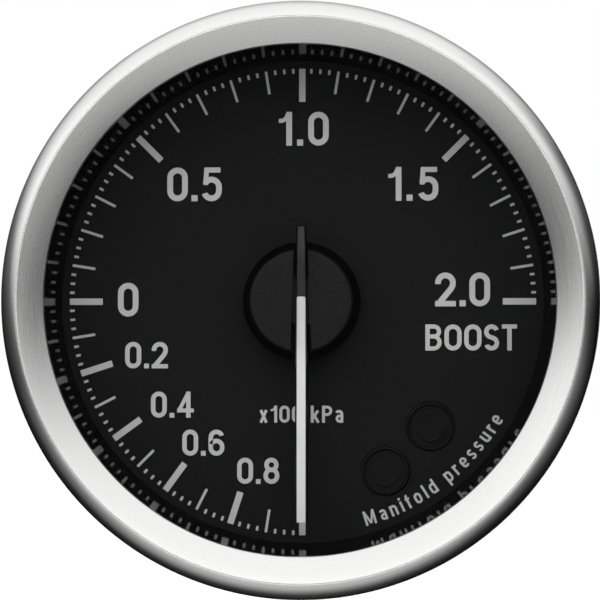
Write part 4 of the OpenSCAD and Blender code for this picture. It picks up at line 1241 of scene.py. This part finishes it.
@dataclass
class Housing:
    """The barrel, its rear cover, the cover's screws and the two threaded bushes."""

    shop: Workshop
    barrel_r: float = 30.0
    bore_r: float = 28.2
    neck_r: float = 29.4
    neck_top_z: float = 5.1
    rear_z: float = -27.0
    ledge_r: float = 25.5
    ledge_top_z: float = -9.6
    ledge_z: float = -12.0
    edge: float = 0.25
    cover_r: float = 29.5
    cover_z: float = -29.0
    cover_edge: float = 0.4
    spigot_r: float = 28.1
    spigot_inner_r: float = 26.0
    spigot_z: float = -24.5
    screw_orbit_r: float = 25.4
    screw_angles: tuple[float, ...] = (90.0, 210.0, 330.0)
    boss_r: float = 3.2
    boss_h: float = 7.0
    head_r: float = 2.0
    head_h: float = 1.3
    head_gap: float = 0.1
    head_sink: float = 0.05
    recess: float = 0.75
    cross: tuple[float, float] = (1.1, 0.24)
    cross_step: float = 0.01
    shank: float = 7.0
    shank_lap: float = 0.1
    head_curve: tuple[tuple[float, float], ...] = ((1, 0.45), (0.93, 0.2), (0.75, 0.06), (0.4, 0), (0, 0))
    insert_x: float = 12.0
    insert_y: float = -14.0
    insert_r: float = 2.8
    insert_hole_r: float = 1.65
    insert_gap: float = 0.03
    insert_edge: float = 0.12
    lead_in: float = 0.3
    insert_top_z: float = -21.5
    thread_pitch: float = 0.7
    thread_depth: float = 0.28
    window: tuple[float, float] = (12.2, 7.4)
    window_x: float = 7.0
    window_y: float = -4.0

    def build_barrel(self) -> None:
        """Builds the barrel with its ledge and screw bosses."""
        section = Profile(self.bore_r, self.rear_z)
        section.to((self.barrel_r - self.edge, self.rear_z), (self.barrel_r, self.rear_z + self.edge),
                   (self.barrel_r, -self.edge), (self.barrel_r - self.edge, 0), (self.neck_r, 0),
                   (self.neck_r, self.neck_top_z), (self.bore_r, self.neck_top_z), (self.bore_r, self.ledge_top_z),
                   (self.ledge_r, self.ledge_top_z), (self.ledge_r, self.ledge_z), (self.bore_r, self.ledge_z))
        bosses = turned_copies(rod(self.boss_r, self.spigot_z, self.spigot_z + self.boss_h, self.screw_orbit_r),
                               self.screw_angles)
        self.shop.place(joined([section.turn(), bosses]), "barrel", "case_black", replaces=("case",))

    def build_cover(self) -> None:
        """Builds the rear cover and opens it for screws, bushes and sockets."""
        section = Profile(0, self.cover_z)
        section.to((self.cover_r - self.cover_edge, self.cover_z), (self.cover_r, self.cover_z + self.cover_edge),
                   (self.cover_r, self.rear_z), (self.spigot_r, self.rear_z), (self.spigot_r, self.spigot_z),
                   (self.spigot_inner_r, self.spigot_z), (self.spigot_inner_r, self.rear_z), (0, self.rear_z))
        wide, tall = self.window
        under, over = self.cover_z - PAST, self.rear_z + PAST
        cutters = [turned_copies(rod(self.head_r + self.head_gap, under, self.cover_z + self.head_h,
                                     self.screw_orbit_r), self.screw_angles)]
        for side in SIDES:
            cutters.append(moved(block((-wide / 2, -tall / 2, under), (wide / 2, tall / 2, over)),
                                 side * self.window_x, self.window_y))
            cutters.append(rod(self.insert_r + self.insert_gap, under, over, side * self.insert_x, self.insert_y))
        self.shop.place(cut(section.turn(), joined(cutters)), "back_cover", "case_black", replaces=("rear_cover",))

    def build_screws(self) -> None:
        """Builds the cover's screws with their cross recess."""
        top, under = self.cover_z + self.head_sink, self.cover_z + self.head_h
        head = Profile(0, under)
        head.to((self.head_r, under), *((self.head_r * share, top + drop) for share, drop in self.head_curve))
        arm, bar = self.cross
        slotted = cut(head.turn(SMALL_STEPS), block((-arm, -bar, top - PAST), (arm, bar, top + self.recess)))
        crossed = cut(slotted, block((-bar, -arm, top - PAST), (bar, arm, top + self.recess - self.cross_step)))
        screw = joined([crossed, rod(self.head_r / 2, under - self.shank_lap, under + self.shank)])
        self.shop.place(turned_copies(moved(screw, self.screw_orbit_r), self.screw_angles), "back_screws",
                        "screw_steel", replaces=("cover_screws",))

    def build_bushes(self) -> None:
        """Builds the two threaded bushes."""
        section = Profile(self.insert_hole_r + self.lead_in, self.cover_z)
        section.to((self.insert_r - self.insert_edge, self.cover_z), (self.insert_r, self.cover_z + self.insert_edge),
                   (self.insert_r, self.insert_top_z), (self.insert_hole_r, self.insert_top_z))
        z = self.insert_top_z
        while z - self.thread_pitch > self.cover_z + self.lead_in:
            section.to((self.insert_hole_r + self.thread_depth, z - self.thread_pitch / 2),
                       (self.insert_hole_r, z - self.thread_pitch))
            z -= self.thread_pitch
        bm = section.turn(SMALL_STEPS)
        copies = [moved(bm.copy(), side * self.insert_x, self.insert_y) for side in SIDES]
        bm.free()
        self.shop.place(joined(copies), "threaded_bushes", "brass_turned", replaces=("threaded_inserts",))

    def build(self) -> None:
        """Builds the pieces of the housing."""
        self.build_barrel()
        self.build_cover()
        self.build_screws()
        self.build_bushes()


@dataclass
class Sockets:
    """The two rear sockets with their contact pins."""

    shop: Workshop
    middle_x: float = 7.0
    middle_y: float = -4.0
    wide: float = 12.0
    tall: float = 7.2
    wall: float = 0.9
    corner: float = 0.5
    lip_round: float = 0.12
    sharp: float = 1.0
    mouth_z: float = -29.5
    board_z: float = -20.5
    floor_z: float = -21.4
    pin_w: float = 0.64
    pin_taper: float = 0.18
    pin_z: float = -25.2
    pin_pitch: float = 2.2
    pins_each: int = 4

    def build_shell(self, side: int, name: str, node: str) -> None:
        """Builds one socket.

        Args:
            side: -1 for the left one, 1 for the right one.
            name: Name of the piece.
            node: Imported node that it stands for.
        """
        solids = []
        for inset, low, high, round_mm in ((0.0, self.mouth_z, self.board_z, self.corner),
                                           (self.wall, self.mouth_z - PAST, self.floor_z, self.corner / 2)):
            solid = block((inset - self.wide / 2, inset - self.tall / 2, low),
                          (self.wide / 2 - inset, self.tall / 2 - inset, high))
            ease(solid, uprights(solid), round_mm, 4)
            solids.append(solid)
        bm = cut(*solids)
        lip = [edge for edge in edges_at(bm, self.mouth_z) if edge.calc_face_angle(0.0) > self.sharp]
        ease(bm, lip, self.lip_round, 2)
        self.shop.place(moved(outward(bm), side * self.middle_x, self.middle_y), name, "connector_black",
                        replaces=(node,))

    def build_pins(self) -> None:
        """Builds the square pins with their tapered ends."""
        pins = []
        half = self.pin_w / 2
        for side in SIDES:
            for i in range(self.pins_each):
                x = side * self.middle_x + (i - (self.pins_each - 1) / 2) * self.pin_pitch
                pin = moved(block((-half, -half, self.pin_z), (half, half, self.board_z)), x, self.middle_y)
                ease(pin, edges_at(pin, self.pin_z), self.pin_taper, 1)
                pins.append(pin)
        self.shop.place(joined(pins), "socket_pins", "contact_gold", replaces=("connector_pins",))

    def build(self) -> None:
        """Builds both sockets and their pins."""
        self.build_shell(-1, "left_socket", "connector_left")
        self.build_shell(1, "right_socket", "connector_right")
        self.build_pins()


# ---- The studio ---------------------------------------------------------------------------------------------


class Zone(Enum):
    """A ring of the reflector drum, by where it stands along the gauge's axis in metres."""

    BEHIND = 0.09
    RIM = 0.035
    LEVEL = 0.003
    BESIDE = -0.03
    BEFORE = -0.075
    FRONT = -0.16


# How bright the drum shows, by degrees round the gauge from its right-hand side, one number for each zone
SHADES: dict[float, tuple[float, ...]] = {
    0: (0.0, 0.0, 0.005, 0.03, 0.0, 0.12), 15: (0.0, 0.02, 0.05, 0.36, 0.22, 0.4),
    30: (0.03, 0.03, 0.14, 0.76, 0.84, 1.0), 45: (0.1, 0.18, 0.62, 1.0, 1.05, 1.3),
    60: (0.18, 0.36, 0.9, 1.02, 1.03, 1.45), 75: (0.2, 0.46, 0.93, 1.02, 1.03, 1.45),
    90: (0.2, 0.48, 0.93, 1.02, 1.03, 1.45), 105: (0.2, 0.46, 0.93, 1.02, 1.03, 1.45),
    120: (0.18, 0.38, 0.93, 1.0, 1.02, 1.45), 135: (0.13, 0.24, 0.8, 0.98, 1.02, 1.5),
    150: (0.08, 0.13, 0.56, 1.0, 1.1, 1.5), 165: (0.03, 0.04, 0.14, 0.85, 1.25, 1.2),
    180: (0.0, 0.01, 0.04, 0.1, 0.13, 0.1), 195: (0.0, 0.0, 0.02, 0.06, 0.02, 0.0),
    210: (0.0, 0.0, 0.02, 0.15, 0.38, 0.4), 225: (0.0, 0.0, 0.02, 0.22, 0.5, 0.6),
    240: (0.0, 0.0, 0.03, 0.38, 0.57, 0.6), 255: (0.0, 0.0, 0.03, 0.46, 0.56, 0.6),
    270: (0.0, 0.0, 0.04, 0.49, 0.56, 0.6), 285: (0.0, 0.0, 0.04, 0.46, 0.53, 0.6),
    300: (0.0, 0.0, 0.02, 0.28, 0.46, 0.5), 315: (0.0, 0.0, 0.01, 0.12, 0.4, 0.5),
    330: (0.0, 0.0, 0.02, 0.12, 0.34, 0.4), 345: (0.0, 0.0, 0.03, 0.14, 0.38, 0.4),
}


@dataclass
class Studio:
    """Camera, floor, world, lamp and reflector cards."""

    target: tuple[float, float, float] = (0.0, -0.005, 0.0)
    distance: float = 0.3
    azimuth_deg: float = 2.1
    elevation_deg: float = -1.4
    lens_mm: float = 168.2
    sensor_mm: float = 36.0
    near: float = 0.01
    floor_z: float = -0.062
    floor_size: float = 3.0
    floor_tone: float = 0.82
    floor_lift: float = 0.9
    ambient: float = 0.15
    key_clock_deg: float = 96.0
    key_off_axis_deg: float = 42.0
    key_distance: float = 0.6
    key_width: float = 1.2
    key_height: float = 0.55
    key_watts: float = 4.05
    drum_r: float = 0.06
    front_distance: float = 0.5
    front_size: float = 0.34
    front_tone: float = 0.4
    pieces: list[bpy.types.Object] = field(default_factory=list)

    def build_camera(self) -> None:
        """Makes the camera at the photograph's viewing angle."""
        azimuth, elevation = math.radians(self.azimuth_deg), math.radians(self.elevation_deg)
        away = Vector((math.sin(azimuth) * math.cos(elevation), -math.cos(azimuth) * math.cos(elevation),
                       math.sin(elevation)))
        data = bpy.data.cameras.new("camera")
        data.lens = self.lens_mm
        data.sensor_width = self.sensor_mm
        data.clip_start = self.near
        camera = bpy.data.objects.new("camera", data)
        camera.location = Vector(self.target) + away * self.distance
        camera.rotation_euler = away.to_track_quat("Z", "Y").to_euler()
        bpy.context.scene.collection.objects.link(camera)
        bpy.context.scene.camera = camera

    @staticmethod
    def background_rays(wiring: Wiring) -> Socket:
        """Marks the rays that see the background as white.

        Args:
            wiring: Wiring of the world or of a material.

        Returns:
            The socket that is 1 for them.
        """
        path = wiring.add("LightPath")
        seen = wiring.math("MAXIMUM", path.outputs["Is Camera Ray"], path.outputs["Is Glossy Ray"])
        return wiring.math("MAXIMUM", seen, path.outputs["Is Transmission Ray"])

    def build_world(self) -> None:
        """Makes the world: white where it is seen, and a plain soft light on the gauge."""
        world = bpy.data.worlds.new("studio")
        world.use_nodes = True
        wiring = Wiring(world.node_tree)
        strength = wiring.spread(self.background_rays(wiring), self.ambient, 1.0)
        background = wiring.add("Background", {"Color": (1, 1, 1, 1), "Strength": strength})
        wiring.add("OutputWorld", {"Surface": background.outputs[0]})
        bpy.context.scene.world = world

    def build_floor(self) -> None:
        """Makes the pale floor, which keeps the gauge's shadow."""
        bm = bmesh.new()
        bmesh.ops.create_grid(bm, x_segments=1, y_segments=1, size=self.floor_size,
                              matrix=Matrix.Translation((0, 0, self.floor_z)))
        floor = temporary_object(bm, "floor")
        material, wiring = start_material("floor_pale")
        tone = self.floor_tone
        matt = wiring.add("BsdfDiffuse", {"Color": (tone, tone, tone, 1)})
        lift = wiring.add("Emission", {"Strength": wiring.math(
            "MULTIPLY", self.background_rays(wiring), self.floor_lift)})
        both = wiring.add("AddShader", {0: matt.outputs[0], 1: lift.outputs[0]})
        wiring.add("OutputMaterial", {"Surface": both.outputs[0]})
        floor.data.materials.append(material)
        self.pieces.append(floor)

    def hide_from_light(self, thing: bpy.types.Object) -> None:
        """Makes a piece of the studio show in reflections alone, as bright as its mesh attribute says.

        Args:
            thing: The piece.
        """
        material, wiring = start_material(thing.name)
        tone = wiring.add("Attribute", attribute_name="tone").outputs["Fac"]
        glow = wiring.add("Emission", {"Strength": tone})
        wiring.add("OutputMaterial", {"Surface": glow.outputs[0]})
        thing.data.materials.append(material)
        thing.visible_camera = False
        thing.visible_diffuse = False
        thing.visible_shadow = False
        self.pieces.append(thing)

    def build_drum(self) -> None:
        """Makes the shaded drum round the gauge."""
        bm = bmesh.new()
        tone = bm.verts.layers.float.new("tone")
        chain = [bm.verts.new((self.drum_r, zone.value, 0)) for zone in Zone]
        edges = [bm.edges.new(pair) for pair in zip(chain, chain[1:])]
        bmesh.ops.spin(bm, geom=chain + edges, cent=(0, 0, 0), axis=(0, -1, 0), dvec=(0, 0, 0), angle=math.tau,
                       steps=len(SHADES), use_merge=True, use_duplicate=False)
        for vert in bm.verts:
            clock = math.degrees(math.atan2(vert.co.z, vert.co.x)) % 360
            nearest = min(SHADES, key=lambda one: abs((one - clock + 180) % 360 - 180))
            zone = min(range(len(Zone)), key=lambda i: abs(list(Zone)[i].value - vert.co.y))
            vert[tone] = SHADES[nearest][zone]
        self.hide_from_light(temporary_object(bm, "reflector_drum"))

    def build_front(self) -> None:
        """Makes the card behind the camera."""
        facing = Matrix.Translation((0, -self.front_distance, 0)) @ Matrix.Rotation(math.radians(90), 4, "X")
        bm = bmesh.new()
        tone = bm.verts.layers.float.new("tone")
        bmesh.ops.create_grid(bm, x_segments=1, y_segments=1, size=self.front_size / 2, matrix=facing)
        for vert in bm.verts:
            vert[tone] = self.front_tone
        self.hide_from_light(temporary_object(bm, "front_card"))

    def build_key(self) -> None:
        """Makes the soft lamp above the viewer."""
        clock, off = math.radians(self.key_clock_deg), math.radians(self.key_off_axis_deg)
        direction = Vector((math.sin(off) * math.cos(clock), -math.cos(off), math.sin(off) * math.sin(clock)))
        data = bpy.data.lights.new("key", "AREA")
        data.shape = "RECTANGLE"
        data.size = self.key_width
        data.size_y = self.key_height
        data.energy = self.key_watts
        lamp = bpy.data.objects.new("key", data)
        lamp.location = direction * self.key_distance
        lamp.rotation_euler = direction.to_track_quat("Z", "Y").to_euler()
        lamp.visible_glossy = False
        bpy.context.scene.collection.objects.link(lamp)

    def build(self) -> None:
        """Builds the whole studio."""
        self.build_camera()
        self.build_world()
        self.build_floor()
        self.build_key()
        self.build_drum()
        self.build_front()
        bpy.context.scene.view_settings.view_transform = "Standard"
        LOG.info("studio: %d stage pieces", len(self.pieces))


def corners(bounds: tuple) -> list[list[float]]:
    """Returns the lowest and the highest corner as plain lists."""
    return [[float(value) for value in corner] for corner in bounds]


def main() -> None:
    """Builds every piece in order."""
    logging.basicConfig(level=logging.INFO, format="%(name)s %(message)s")
    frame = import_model()
    Studio().build()
    palette = Palette()
    shop = Workshop(palette)
    Bezel(shop).build()
    TaperedWall(shop).build()
    LampCover(shop, "peak_lamp", "peak_lamp_lens", 14.0, -13.62).build()
    LampCover(shop, "warning_lamp", "warning_lamp_lens", 9.1, -18.52).build()
    Lettering(shop).build()
    Needle(shop).build()
    Housing(shop).build()
    Sockets(shop).build()
    LOG.info("packed nodes dressed: %d", palette.dress_nodes(frame))


if __name__ == "__main__":
    main()
